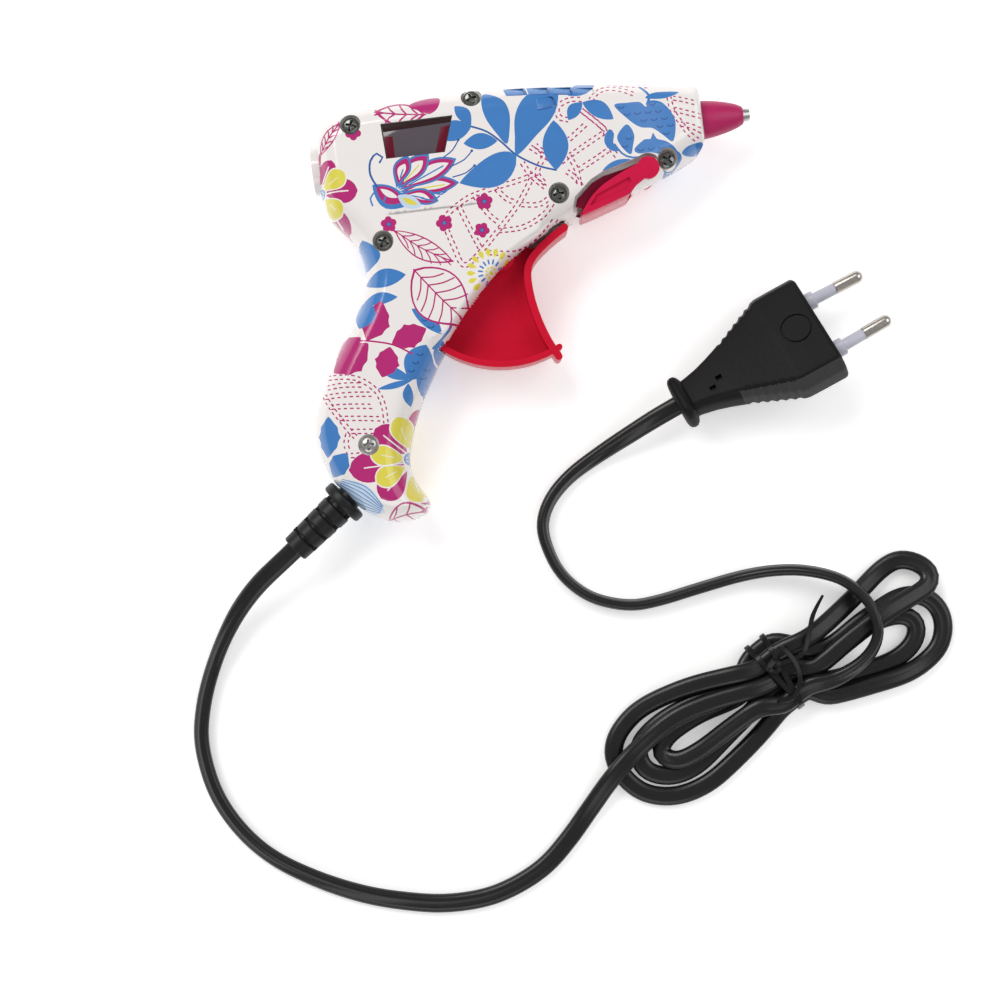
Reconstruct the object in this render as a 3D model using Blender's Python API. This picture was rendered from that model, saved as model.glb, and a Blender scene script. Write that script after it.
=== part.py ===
"""A small hot-melt glue gun lying on its left side, with its mains lead wound in a hank and its plug.

Lengths are in millimetres in the gun's own axes until an object is made: x runs forward along the
barrel from its rear end, y up from the barrel's axis, and z to the gun's right from the seam between
the casing halves. The seam lies level, so z is also the model's up.
"""

import math

import bmesh
import bpy
import numpy as np
from mathutils import Matrix, Vector
from mathutils.geometry import delaunay_2d_cdt

MM = 0.001
BARREL_REAR = Vector((-54.939, 49.808, 14.0))  # barrel's rear end on the seam, from the model's origin

# Casing
HALF_THICKNESS = 14.0
WALL = 1.8
SEAM_GAP = 0.15  # from the seam plane to each half
SEAM_LAND = 0.5  # height of the upright band along the seam
GAP = 0.3
EDGE_ROUNDING = 8.0
TRIGGER_EDGE_ROUNDING = 3.0
FRONT_X = 117.2
FRONT_ROUNDING = 2.6
NOZZLE_HOLE_RADIUS = 6.2
INLET_RADIUS = 4.3
INLET_COLLAR_RADIUS = 7.2
INLET_COLLAR_Y = -1.2
OUTLINE_STEP = 3.4
CAP_STEP = 13.0
ROUNDING_STEPS = (0.07, 0.27, 0.56)  # shares of the edge rounding at which the casing has extra points

# The casing's edge on the seam, anticlockwise from the top of the front end.
CASING_EDGE = (
    (116.6, 7.1), (115.7, 9.1), (113.1, 10.4), (109.3, 11.2), (100.4, 12.5), (88.5, 13.9),
    (79.5, 14.9), (70.5, 15.7), (61.5, 16.2), (52.5, 16.5), (43.4, 16.6), (34.4, 16.6),
    (25.3, 16.2), (17.7, 15.8), (11.5, 15.0), (6.8, 13.2), (3.4, 10.8), (1.7, 7.6),
    (1.2, 3.8), (1.2, -1.0), (1.3, -6.8), (1.8, -11.4), (3.0, -15.8), (5.4, -19.2),
    (8.2, -22.4), (10.4, -26.1), (11.6, -30.7), (11.8, -34.7), (11.0, -38.2), (9.4, -42.3),
    (6.9, -46.8), (3.2, -52.4), (-0.5, -58.0), (-3.9, -63.6), (-6.3, -68.7), (-7.9, -72.8),
    (-8.8, -77.0), (-8.9, -81.1), (-8.3, -85.7), (-6.9, -90.4), (-5.0, -94.4), (-2.0, -98.2),
    (1.2, -102.3), (4.6, -105.2), (9.0, -107.6), (13.0, -108.6), (17.5, -108.5), (21.0, -107.0),
    (22.5, -104.6), (21.7, -101.8), (19.9, -98.9), (18.4, -95.0), (18.1, -90.5), (19.0, -86.1),
    (20.5, -81.7), (22.1, -78.0), (24.1, -73.7), (26.2, -70.0), (28.5, -66.2), (31.0, -62.4),
    (34.4, -58.0), (38.6, -52.5), (44.9, -45.4), (51.5, -39.2), (56.4, -35.6), (61.5, -32.6),
    (66.4, -30.1), (71.9, -27.6), (76.0, -25.7), (82.4, -23.3), (88.7, -21.2), (97.2, -18.6),
    (102.9, -16.3), (108.9, -13.8), (113.7, -11.3), (115.7, -9.3), (116.6, -6.6), (117.1, -2.9),
    (117.2, 1.0), (117.1, 4.6),
)
TRIGGER_EDGE_SPAN = ((70.0, -28.0), (32.5, -60.5))  # the stretch of edge that the trigger passes

# The side window, clockwise from its rear upper corner
WINDOW = ((22.1, 7.9), (43.4, 7.9), (39.9, -2.6), (22.6, -2.5))
PANE = ((20.7, 9.0), (45.0, 9.0), (40.8, -4.1), (21.3, -4.0))
PANE_LOW, PANE_HIGH = 10.1, 11.2

# Screws: x, y and the height of the floor under the head
CASE_SCREWS = (
    (13.3, 9.0, 9.3),
    (49.5, 12.9, 7.4),
    (18.7, -26.2, 9.8),
    (71.6, -18.5, 9.8),
    (105.0, -11.7, 5.4),
    (7.2, -84.9, 10.9),
)
SCREW_HEAD_RADIUS = 2.8
SCREW_HEAD_HEIGHT = 1.9
SCREW_SHANK_RADIUS = 1.3
SCREW_SHANK_LENGTH = 14.0
BOSS_RADIUS = 3.0
CUP_RADIUS = 4.2
COUNTERBORE_RADIUS = 3.1

# Ribs across the barrel: x, half width, notch radius and distance from the seam
RIBS = ((9.0, 8.0, 5.9, 3.8), (17.2, 7.5, 5.9, 3.8), (72.0, 8.5, 6.5, -1.0), (107.6, 8.0, 5.4, -1.0))

# Vents on the top shoulder: sloping dents, each from its rear lower corner round to its rear upper one
LOUVRES = (
    ((60.3, 12.0), (65.4, 11.6), (64.9, 13.9), (59.8, 14.2)),
    ((67.0, 11.3), (72.2, 10.8), (71.9, 13.2), (66.6, 13.6)),
    ((73.8, 10.6), (79.0, 10.0), (78.6, 12.4), (73.4, 12.8)),
    ((80.6, 9.8), (85.8, 9.2), (85.4, 11.6), (80.2, 12.0)),
    ((68.4, 6.3), (73.6, 7.0), (73.0, 9.7), (68.3, 9.8)),
)
LOUVRE_DEPTH = 0.8

# Trigger, which turns about TRIGGER_PIVOT
TRIGGER_PIVOT = (52.5, -34.0)
TRIGGER_HALF_WIDTH = 7.8
TRIGGER_WEB_HALF = 1.5
TRIGGER_ARC_RADIUS = 32.0
TRIGGER_ARC_SPAN = (-64.0, -151.0)
BLADE_THICKNESS = 2.2
BLADE_LINE = (
    (72.3, -27.9), (69.4, -29.6), (66.2, -31.8), (63.0, -34.4), (60.7, -37.2), (59.8, -40.2),
    (59.7, -44.0), (60.2, -49.0), (61.5, -54.8), (63.5, -60.6), (66.0, -65.6),
)
ARM_LEAN = math.radians(12.07)
ARM_LENGTH = 24.0
SLOT_HALF_WIDTH = 8.4

# Feed mechanism, on the barrel's axis
STICK_BORE = 4.1
CARRIAGE_X = (39.8, 54.0)
CARRIAGE_HALF_WIDTH = 7.6
LEVER_X = (46.7, 49.1)
LEVER_HINGE = (47.9, 5.95)
LEVER_PIN = (47.9, -12.5)
SPRING_X = (54.8, 69.1)
SPRING_RADIUS = 5.6
SPRING_WIRE = 0.45
SPRING_TURNS = 5

# Stand, which turns about STAND_PIVOT
STAND_PIVOT = (98.8, -13.8)
STAND_BOSS_RADIUS = 3.3
STAND_FLOOR = 8.2
STAND_LEG = (8.6, 11.0)
STAND_LINE_TOP = ((95.9, -12.2), (92.0, -13.7), (88.4, -15.4), (84.6, -17.4), (81.0, -20.4), (78.3, -23.9))
STAND_LINE_LOW = ((78.0, -25.4), (82.6, -24.1), (92.4, -20.9), (94.6, -18.6), (97.4, -16.8))
STAND_WEB = ((78.3, -24.7), (82.6, -23.4), (92.0, -20.3))
STAND_WEB_THICKNESS = 1.4

# Strain relief: the middle of its seat on the casing and the way it points
RELIEF_SEAT = Vector((-1.3, -99.3, 0.0))
RELIEF_WAY = Vector((-0.80, -0.60, 0.0))
RELIEF_LENGTH = 22.6

# Mains lead. FLOOR is the surface that everything lies on.
FLOOR = -14.0
CORD_RADIUS = 2.1
CORD_LOW = FLOOR + CORD_RADIUS + 0.05
CORD_SPACING = 10.0
LEAD_ROUTE = (
    (-20.1, -113.4, 0.0), (-25.4, -117.2, -1.4), (-32.3, -122.3, -4.4), (-39.4, -129.4, -8.0),
    (-45.5, -138.0, -10.8), (-50.6, -147.5, CORD_LOW), (-54.4, -158.0, CORD_LOW),
    (-56.1, -169.0, CORD_LOW), (-53.9, -183.2, CORD_LOW), (-48.2, -195.0, CORD_LOW),
    (-39.6, -205.0, CORD_LOW), (-27.6, -213.2, CORD_LOW), (-13.7, -219.9, CORD_LOW),
    (-0.3, -224.0, CORD_LOW), (13.3, -226.3, CORD_LOW), (27.9, -225.3, CORD_LOW),
    (41.9, -219.6, CORD_LOW), (51.5, -211.5, CORD_LOW), (59.5, -201.4, CORD_LOW),
    (64.9, -194.0, CORD_LOW),
)
TAIL_ROUTE = (
    (143.6, -140.6, -9.5), (137.5, -139.2, -10.8), (128.5, -138.3, CORD_LOW),
    (115.0, -138.7, CORD_LOW), (105.5, -139.7, CORD_LOW), (96.9, -140.9, CORD_LOW),
    (88.4, -142.0, CORD_LOW), (78.6, -142.4, CORD_LOW), (67.3, -138.4, CORD_LOW),
    (59.6, -130.8, CORD_LOW), (56.3, -122.7, CORD_LOW), (55.4, -114.9, CORD_LOW),
    (58.7, -107.6, CORD_LOW), (65.7, -101.0, -11.3), (75.6, -95.4, -9.6), (86.0, -90.3, -7.4),
    (93.6, -86.6, -6.0), (99.0, -84.4, -5.3),
)
HANK_HEIGHT = 9.0
HANK_EDGE = (
    (68.2, -183.3), (72.6, -174.3), (83.5, -167.4), (101.2, -163.1), (115.9, -158.8),
    (132.3, -149.6), (152.1, -143.8), (164.1, -137.6), (173.0, -141.6), (176.3, -152.0),
    (175.2, -160.3), (168.4, -168.6), (155.7, -174.4), (141.4, -176.0), (126.8, -178.3),
    (113.2, -186.4), (101.1, -194.7), (89.3, -200.3), (79.0, -200.0), (70.9, -193.4),
)
TIE_MIDDLE = (121.3, -168.9)
TIE_WAY = math.radians(-59.5)
TIE_HALF_SPAN = 12.4

# Plug: its own x runs from the cord end to the pins, y across its width and z through its thickness
PLUG_REAR = Vector((100.2, -83.9, -3.85))
PLUG_FRONT = Vector((145.3, -65.8, -0.2))
PLUG_TILT = math.radians(-27.0)
PLUG_LENGTH = 48.7
PLUG_HALF_WIDTH = 17.65
PLUG_HALF_THICKNESS = 6.85
PIN_SPACING = 18.6
PIN_TIP_SPACING = 17.5
PIN_LENGTH = 19.0
PIN_RADIUS = 2.0
SLEEVE_LENGTH = 10.0

ROUND_SIDES = 16
PLUG_STATIONS = (
    (4.0, 5.6, 4.6), (10.0, 6.6, 4.9), (18.4, 9.6, 5.4), (34.0, 17.3, 6.7), (36.0, 17.65, 6.85),
    (47.9, 17.65, 6.85), (48.7, 17.2, 6.4),
)
PLUG_GRIP = (19.6, 33.0)
PLUG_GRIP_RIDGES = 5
PLUG_GRIP_DEPTH = 0.5


# ---------------------------------------------------------------------------- shapes in millimetres

def rounded(points, step, closed=False):
    """Points about one step apart on the smooth curve through the given points."""
    knots = [Vector(p) for p in points]
    count = len(knots)
    line = []
    for i in range(count if closed else count - 1):
        if closed:
            a, b, c, d = (knots[(i + k) % count] for k in (-1, 0, 1, 2))
        else:
            a, b, c, d = (knots[min(max(i + k, 0), count - 1)] for k in (-1, 0, 1, 2))
        pieces = max(1, round((c - b).length / step))
        for j in range(pieces):
            t = j / pieces
            line.append(0.5 * ((2 * b) + (c - a) * t + (2 * a - 5 * b + 4 * c - d) * t ** 2
                               + (3 * b - a - 3 * c + d) * t ** 3))
    if not closed:
        line.append(knots[-1])
    return line


def circle(middle, radius, sides=ROUND_SIDES):
    """A regular outline whose flats lie across the axes."""
    x, y = middle
    turn = 2 * math.pi / sides
    return [(x + radius * math.cos((i + 0.5) * turn), y + radius * math.sin((i + 0.5) * turn))
            for i in range(sides)]


def ribbon(line, width, cap_sides=4):
    """The outline of a strip of the given width along a line, with round ends."""
    points = [Vector(p) for p in line]
    left, right = [], []
    for i, p in enumerate(points):
        along = (points[min(i + 1, len(points) - 1)] - points[max(i - 1, 0)]).normalized()
        across = Vector((-along.y, along.x)) * width / 2
        left.append(p + across)
        right.append(p - across)

    def cap(middle, start):
        return [middle + Matrix.Rotation(-math.pi * k / cap_sides, 2) @ start
                for k in range(1, cap_sides)]

    far = cap(points[-1], left[-1] - points[-1])
    near = cap(points[0], right[0] - points[0])
    return [tuple(p) for p in left + far + right[::-1] + near]


def signed_area(outline):
    return sum(a[0] * b[1] - b[0] * a[1] for a, b in zip(outline, list(outline[1:]) + [outline[0]])) / 2


def prism(outline, low, high, axis="z"):
    """A solid between two levels, from an outline across the given axis."""
    if signed_area(outline) < 0:
        outline = list(outline)[::-1]
    place = {
        "z": lambda u, v, w: (u, v, w),
        "x": lambda u, v, w: (w, u, v),
        "y": lambda u, v, w: (v, w, u),
    }[axis]
    bm = bmesh.new()
    lower = [bm.verts.new(place(u, v, low)) for u, v in outline]
    upper = [bm.verts.new(place(u, v, high)) for u, v in outline]
    bm.faces.new(lower[::-1])
    bm.faces.new(upper)
    count = len(outline)
    for i in range(count):
        j = (i + 1) % count
        bm.faces.new((lower[i], lower[j], upper[j], upper[i]))
    return bm


def block(x, y, z):
    """A box between pairs of limits."""
    return prism([(x[0], y[0]), (x[1], y[0]), (x[1], y[1]), (x[0], y[1])], z[0], z[1])


def turned(profile, axis="x", middle=(0.0, 0.0), sides=ROUND_SIDES):
    """A solid of revolution. profile holds (place along the axis, radius) and closes on the axis or on itself."""
    bm = bmesh.new()
    rings = []
    for along, radius in profile:
        if radius == 0:
            rings.append([bm.verts.new((along, 0, 0))])
            continue
        rings.append([bm.verts.new((along, u, v)) for u, v in circle((0, 0), radius, sides)])
    on_axis = len(rings[0]) == 1 and len(rings[-1]) == 1
    pairs = list(zip(rings, rings[1:])) + ([] if on_axis else [(rings[-1], rings[0])])
    for a, b in pairs:
        for i in range(sides):
            j = (i + 1) % sides
            corners = [a[i % len(a)], a[j % len(a)], b[j % len(b)], b[i % len(b)]]
            corners = [v for k, v in enumerate(corners) if v not in corners[:k]]
            bm.faces.new(corners)
    if axis == "z":
        bm.transform(Matrix(((0, 0, 1, middle[0]), (0, 1, 0, middle[1]), (-1, 0, 0, 0), (0, 0, 0, 1))))
        bmesh.ops.scale(bm, vec=(1, 1, -1), verts=bm.verts)
    else:
        bm.transform(Matrix.Translation((0, middle[0], middle[1])))
    bmesh.ops.recalc_face_normals(bm, faces=bm.faces)
    return bm


def lofted(rings):
    """A closed solid through rings of points that all hold the same number, with flat ends."""
    bm = bmesh.new()
    verts = [[bm.verts.new(p) for p in ring] for ring in rings]
    count = len(rings[0])
    for a, b in zip(verts, verts[1:]):
        for i in range(count):
            j = (i + 1) % count
            bm.faces.new((a[i], a[j], b[j], b[i]))
    bm.faces.new(verts[0][::-1])
    bm.faces.new(verts[-1])
    bmesh.ops.recalc_face_normals(bm, faces=bm.faces)
    return bm


# ------------------------------------------------------------------------------- objects and joining

def material(name, colour, roughness, metallic=0.0, alpha=1.0):
    """The named material, made the first time that it is asked for."""
    made = bpy.data.materials.get(name) or bpy.data.materials.new(name)
    made.use_nodes = True
    shader = made.node_tree.nodes["Principled BSDF"]
    shader.inputs["Base Color"].default_value = (*colour, 1.0)
    shader.inputs["Roughness"].default_value = roughness
    shader.inputs["Metallic"].default_value = metallic
    shader.inputs["Alpha"].default_value = alpha
    made.diffuse_color = (*colour, alpha)
    return made


def part(name, bm, finish=None, pivot=(0.0, 0.0, 0.0), parent=None):
    """An object from a shape in gun millimetres, with its origin at the pivot."""
    offset = Vector(pivot)
    bm.transform(Matrix.Scale(MM, 4) @ Matrix.Translation(-offset))
    mesh = bpy.data.meshes.new(name)
    bm.to_mesh(mesh)
    bm.free()
    obj = bpy.data.objects.new(name, mesh)
    bpy.context.collection.objects.link(obj)
    obj.location = offset * MM
    obj.parent = parent or GUN
    if parent:
        obj.location = (offset - Vector(parent["place"])) * MM
    if finish:
        mesh.materials.append(material(*finish))
        mesh.shade_smooth()
        mesh.set_sharp_from_angle(angle=math.radians(35))
    return obj


def tool(name, bm, parent=None):
    """A shape that only cuts or joins others."""
    obj = part(name, bm, parent=parent)
    obj.hide_render = True
    obj.display_type = "WIRE"
    return obj


def apply_to(obj, operation, *tools):
    """Boolean modifiers on the object, one for each tool."""
    for other in tools:
        modifier = obj.modifiers.new(other.name, "BOOLEAN")
        modifier.operation = operation
        modifier.object = other
    return obj


def cut(obj, *tools):
    return apply_to(obj, "DIFFERENCE", *tools)


def join(obj, *tools):
    return apply_to(obj, "UNION", *tools)


def axes(name, place):
    """An empty at a joint or at the gun's own axes."""
    empty = bpy.data.objects.new(name, None)
    bpy.context.collection.objects.link(empty)
    empty["place"] = tuple(place)
    return empty


def tube(name, line, radius, finish, resolution=2, parent=None):
    """A round solid along a line, from a curve with a bevel and filled caps."""
    curve = bpy.data.curves.new(name, "CURVE")
    curve.dimensions = "3D"
    curve.bevel_depth = radius * MM
    curve.bevel_resolution = resolution
    curve.use_fill_caps = True
    spline = curve.splines.new("POLY")
    spline.points.add(len(line) - 1)
    for point, place in zip(spline.points, line):
        point.co = (*(Vector(place) * MM), 1.0)
    curve.materials.append(material(*finish))
    obj = bpy.data.objects.new(name, curve)
    bpy.context.collection.objects.link(obj)
    obj.parent = parent or GUN
    return obj


# ------------------------------------------------------------------------------------------- finishes

WHITE = ("printed casing", (0.84, 0.80, 0.77), 0.25)
RED = ("red plastic", (0.52, 0.015, 0.05), 0.35)
CLEAR_RED = ("clear red plastic", (0.60, 0.02, 0.06), 0.2)
MAGENTA = ("magenta silicone", (0.48, 0.02, 0.13), 0.45)
SMOKED = ("smoked window", (0.10, 0.08, 0.11), 0.15, 0.0, 0.6)
BLACK = ("black rubber", (0.018, 0.018, 0.02), 0.5)
BLACK_PLASTIC = ("black plastic", (0.02, 0.02, 0.022), 0.45)
DARK_STEEL = ("blackened steel", (0.12, 0.13, 0.13), 0.4, 1.0)
STEEL = ("bright steel", (0.62, 0.61, 0.60), 0.3, 1.0)
NICKEL = ("nickel", (0.66, 0.62, 0.58), 0.2, 1.0)
ALUMINIUM = ("cast aluminium", (0.70, 0.70, 0.71), 0.5, 1.0)
SILICONE = ("clear silicone", (0.80, 0.78, 0.74), 0.5)
CERAMIC = ("ceramic", (0.55, 0.50, 0.42), 0.7)
PIN_SLEEVE = ("pin insulation", (0.74, 0.74, 0.80), 0.4)
BROWN = ("brown insulation", (0.20, 0.07, 0.03), 0.5)
BLUE = ("blue insulation", (0.05, 0.12, 0.45), 0.5)


# --------------------------------------------------------------------------------------- the casing

def distances(points, edge, closed=True):
    """Each point's distance to an outline, and the place along it that is nearest."""
    start = np.array(edge)
    way = np.roll(start, -1, axis=0) - start
    if not closed:
        start, way = start[:-1], way[:-1]
    offset = points[:, None, :] - start[None]
    share = np.clip((offset * way).sum(axis=2) / (way * way).sum(axis=1), 0, 1)
    foot = start[None] + share[..., None] * way[None]
    reach = np.linalg.norm(points[:, None, :] - foot, axis=2)
    nearest = reach.argmin(axis=1)
    rows = np.arange(len(points))
    return reach[rows, nearest], foot[rows, nearest]


def smooth_step(value):
    value = np.clip(value, 0.0, 1.0)
    return value * value * (3 - 2 * value)


def full_thickness(x, y):
    """Half the casing's thickness away from its edges: full at the barrel's rear, less in front and below."""
    front = 4.4 * smooth_step((x - 72.0) / 50.0)
    handle = 1.7 * smooth_step((-y - 38.0) / 45.0)
    return HALF_THICKNESS - front - handle


def rounding_at(foot):
    """The edge rounding at places on the outline, less where the trigger comes out."""
    (x1, y1), (x0, y0) = TRIGGER_EDGE_SPAN
    length = math.hypot(x1 - x0, y1 - y0)
    share = ((foot[:, 0] - x0) * (x1 - x0) + (foot[:, 1] - y0) * (y1 - y0)) / length ** 2
    off = np.abs((foot[:, 0] - x0) * (y1 - y0) - (foot[:, 1] - y0) * (x1 - x0)) / length
    inside = smooth_step(share / 0.12) * smooth_step((1 - share) / 0.12) * (off < 5)
    return EDGE_ROUNDING + (TRIGGER_EDGE_ROUNDING - EDGE_ROUNDING) * inside


def quarter(share, power=2.0):
    """The height share of a rounded edge at a share of its width."""
    share = np.clip(share, 0.0, 1.0)
    return (1 - (1 - share) ** power) ** (1 / power)


def casing_height(points, edge, inset):
    """The casing's height above the seam at each point. inset is the wall for the hollow's own height."""
    first = next(i for i, p in enumerate(edge) if p[0] < FRONT_X - inset - 2.2)
    side = [p for p in edge[first:] if p[0] < FRONT_X - inset - 2.2]
    side_distance, foot = distances(points, side, closed=False)
    side_share = side_distance / (rounding_at(foot) - inset / 2)
    front_share = (FRONT_X - inset - points[:, 0]) / FRONT_ROUNDING
    height = full_thickness(points[:, 0], points[:, 1]) - inset
    return height * quarter(side_share) * quarter(front_share, 3.0)


def inset_points(edge, depth):
    """The points at the given depth inside an outline, in order, without those that cross over."""
    line = [Vector(p) for p in edge]
    moved = []
    for i, p in enumerate(line):
        along = (line[(i + 1) % len(line)] - line[i - 1]).normalized()
        moved.append(p + Vector((-along.y, along.x)) * depth)
    reach, _ = distances(np.array([tuple(p) for p in moved]), [tuple(p) for p in line])
    return [p for p, far in zip(moved, reach) if far > depth * 0.985]


def pillow(inset, base):
    """One half of the casing as a solid, or its hollow, from its edge up to its rounded side."""
    edge = rounded(CASING_EDGE, OUTLINE_STEP, closed=True)
    edge = inset_points(edge, inset) if inset else edge
    flat_edge = [tuple(p) for p in edge]
    count = len(edge)
    points = list(edge)
    for share in ROUNDING_STEPS:
        points += inset_points(edge, share * EDGE_ROUNDING)
    points += inset_points(edge, EDGE_ROUNDING)[::2]
    xs = np.arange(-8.0, FRONT_X, CAP_STEP)
    ys = np.arange(-106.0, 16.0, CAP_STEP)
    grid = np.array([(x, y) for x in xs for y in ys])
    deep, _ = distances(grid, flat_edge)
    inner = [Vector(p) for p, far in zip(grid, deep) if far > EDGE_ROUNDING + 2.5]
    points += inner
    boundary = [(i, (i + 1) % count) for i in range(count)]
    flat, _, faces, origins, _, _ = delaunay_2d_cdt(points, boundary, [], 1, 1e-4)
    heights = casing_height(np.array([tuple(p) for p in flat]), flat_edge, inset)
    bm = bmesh.new()
    on_edge = {i for i, from_points in enumerate(origins) if any(k < count for k in from_points)}
    verts = []
    for i, (p, height) in enumerate(zip(flat, heights)):
        verts.append(bm.verts.new((p.x, p.y, SEAM_LAND if i in on_edge else max(height, SEAM_LAND + 0.1))))
    for face in faces:
        bm.faces.new([verts[i] for i in face])
    rim = [e for e in bm.edges if e.is_boundary]
    grown = bmesh.ops.extrude_edge_only(bm, edges=rim)["geom"]
    low_verts = [v for v in grown if isinstance(v, bmesh.types.BMVert)]
    for v in low_verts:
        v.co.z = base
    bmesh.ops.contextual_create(bm, geom=[e for e in grown if isinstance(e, bmesh.types.BMEdge)])
    bmesh.ops.recalc_face_normals(bm, faces=bm.faces)
    return bm


def mirrored(bm, side):
    """The same shape on the given side of the seam: 1 for the right half, -1 for the left."""
    if side < 0:
        bmesh.ops.scale(bm, vec=(1, 1, -1), verts=bm.verts)
        bmesh.ops.reverse_faces(bm, faces=bm.faces)
    return bm


def saddle(x, y_reach, notch_radius, foot):
    """A rib across the barrel with a round notch on the axis. foot is how far from the seam it starts."""
    steps = 10
    low = math.asin(foot / notch_radius)
    notch = []
    for k in range(steps + 1):
        a = low + (math.pi - 2 * low) * k / steps
        notch.append((notch_radius * math.cos(a), notch_radius * math.sin(a)))
    outline = [(-y_reach, foot), (-y_reach, 15.0), (y_reach, 15.0), (y_reach, foot)]
    return prism(outline + notch, x, x + 1.2, axis="x")


def stand_recess(grow):
    """The outline of the side recess that the folded stand lies in, open below the casing."""
    cx, cy = STAND_PIVOT
    arc = [(cx + (4.2 + grow) * math.cos(a), cy + (4.2 + grow) * math.sin(a))
           for a in (math.radians(d) for d in (10, 40, 70, 100, 130))]
    top = [(85.3, -13.6 + grow), (81.4, -15.6 + grow), (76.2 - grow, -20.0 + grow), (75.4 - grow, -22.5)]
    return [(cx + 4.8 + grow, -34.0), (cx + 4.8 + grow, -14.5)] + arc + top + [(75.4 - grow, -34.0)]


def casing_hollow(side):
    """What is taken out of a casing half: its hollow, less the bosses, ribs and floors that stay."""
    label = "right" if side > 0 else "left"
    hollow = tool(f"hollow_{label}", mirrored(pillow(WALL, -1.0), side))
    kept = []
    for i, (x, y, floor) in enumerate(CASE_SCREWS):
        kept.append((f"boss_{i}", prism(circle((x, y), BOSS_RADIUS), -2.0, 15.0)))
        if side > 0:
            kept.append((f"cup_{i}", prism(circle((x, y), CUP_RADIUS), floor - 1.4, 15.0)))
    for i, rib in enumerate(RIBS):
        kept.append((f"rib_{i}", saddle(*rib)))
    kept.append(("ledge_low", block((45.8, 66.0), (-5.4, -3.9), (8.2, 15.0))))
    kept.append(("ledge_high", block((45.8, 66.0), (3.9, 5.4), (8.2, 15.0))))
    kept.append(("trigger_boss", prism(circle(TRIGGER_PIVOT, 3.6), SLOT_HALF_WIDTH, 15.0)))
    kept.append(("stand_pad", prism(stand_recess(1.7), STAND_FLOOR - 1.6, 15.0)))
    floor_line = [(74.6, -21.4), (95.2, -15.2), (95.2, -30.0), (74.6, -30.0)]
    kept.append(("stand_floor", prism(floor_line, -2.0, 15.0)))
    kept.append(("relief_wall", relief_cylinder(7.0, -WALL - 0.8, 6.0)))
    if side < 0:
        for i, (x, y) in enumerate(clamp_screw_places()):
            kept.append((f"clamp_boss_{i}", prism(circle((x, y), 2.6), 2.2, 15.0)))
    tools = [tool(f"{label}_{name}", mirrored(bm, side)) for name, bm in kept]
    return cut(hollow, *tools)


def louvre_cutters():
    """Wedges whose lower faces slope into the casing's side towards the front."""
    edge = [tuple(p) for p in rounded(CASING_EDGE, OUTLINE_STEP, closed=True)]
    wedges = []
    for corners in LOUVRES:
        heights = casing_height(np.array(corners), edge, 0.0)
        low = []
        for i, ((x, y), height) in enumerate(zip(corners, heights)):
            low.append((x, y, height - (LOUVRE_DEPTH if i in (1, 2) else 0.05)))
        wedges.append(lofted([low, [(x, y, 17.0) for x, y in corners]]))
    return wedges


def relief_cylinder(radius, start, end):
    """A cylinder along the strain relief's axis, between two distances out from its seat."""
    bm = turned([(start, 0), (start, radius), (end, radius), (end, 0)])
    turn = RELIEF_WAY.to_track_quat("X", "Z").to_matrix().to_4x4()
    bm.transform(Matrix.Translation(RELIEF_SEAT) @ turn)
    return bm


def trigger_slot():
    """The outline of the opening in the casing's lower edge that the trigger works through."""
    edge = [(73.6, -26.9), (66.4, -30.1), (61.5, -32.6), (56.4, -35.6), (51.5, -39.2), (44.9, -45.4),
            (38.6, -52.5), (34.4, -58.0), (32.0, -61.2)]
    inner = [(x - 2.6, y + 3.2) for x, y in edge]
    outer = [(x + 5.0, y - 4.0) for x, y in edge]
    return outer + inner[::-1]


def casing(side):
    """One half of the casing."""
    label = "right" if side > 0 else "left"
    half = part(f"casing_{label}", mirrored(pillow(0.0, SEAM_GAP), side), WHITE)
    collar = tool(f"{label}_inlet_collar", mirrored(prism(half_disc(INLET_COLLAR_RADIUS), 0.0, 3.0, axis="x"), side))
    join(half, collar)
    cut(half, casing_hollow(side))
    holes = [
        ("window", prism(WINDOW, 5.0, 20.0)),
        ("trigger_slot", prism(trigger_slot(), -1.0, SLOT_HALF_WIDTH)),
        ("inlet", turned([(-2, 0), (-2, INLET_RADIUS), (6.0, INLET_RADIUS), (6.0, 0)])),
        ("nozzle_hole", turned([(112.5, 0), (112.5, NOZZLE_HOLE_RADIUS), (122, NOZZLE_HOLE_RADIUS), (122, 0)])),
        ("trigger_pin_hole", prism(circle(TRIGGER_PIVOT, 1.85), -1.0, 11.4)),
        ("stand_recess", prism(stand_recess(0.0), STAND_FLOOR, 20.0)),
        ("stand_floor_recess", prism([(76.4, -23.0), (93.4, -17.7), (95.0, -30.0), (75.4, -30.0)], -1.0, 20.0)),
        ("stand_pin_hole", prism(circle(STAND_PIVOT, 1.7), -1.0, 20.0)),
        ("relief_hole", relief_cylinder(4.3, -9.0, 9.0)),
    ]
    for i, wedge in enumerate(louvre_cutters()):
        holes.append((f"louvre_{i}", wedge))
    for i, (x, y, floor) in enumerate(CASE_SCREWS):
        if side > 0:
            holes.append((f"screw_hole_{i}", prism(circle((x, y), SCREW_SHANK_RADIUS + GAP), -1.0, 20.0)))
            holes.append((f"counterbore_{i}", prism(circle((x, y), COUNTERBORE_RADIUS), floor, 22.0)))
        else:
            holes.append((f"screw_hole_{i}", prism(circle((x, y), SCREW_SHANK_RADIUS + GAP), -1.0, 9.2)))
    if side < 0:
        for i, (x, y) in enumerate(clamp_screw_places()):
            holes.append((f"clamp_hole_{i}", prism(circle((x, y), 1.4), -1.0, 9.4)))
    return cut(half, *[tool(f"{label}_{name}", mirrored(bm, side)) for name, bm in holes])


def half_disc(radius):
    """Half a disc standing on the seam, as seen along the barrel."""
    steps = 12
    arc = [(radius * math.cos(math.pi * k / steps), radius * math.sin(math.pi * k / steps))
           for k in range(steps + 1)]
    return [(y + INLET_COLLAR_Y, z + SEAM_GAP) for y, z in arc]


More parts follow.
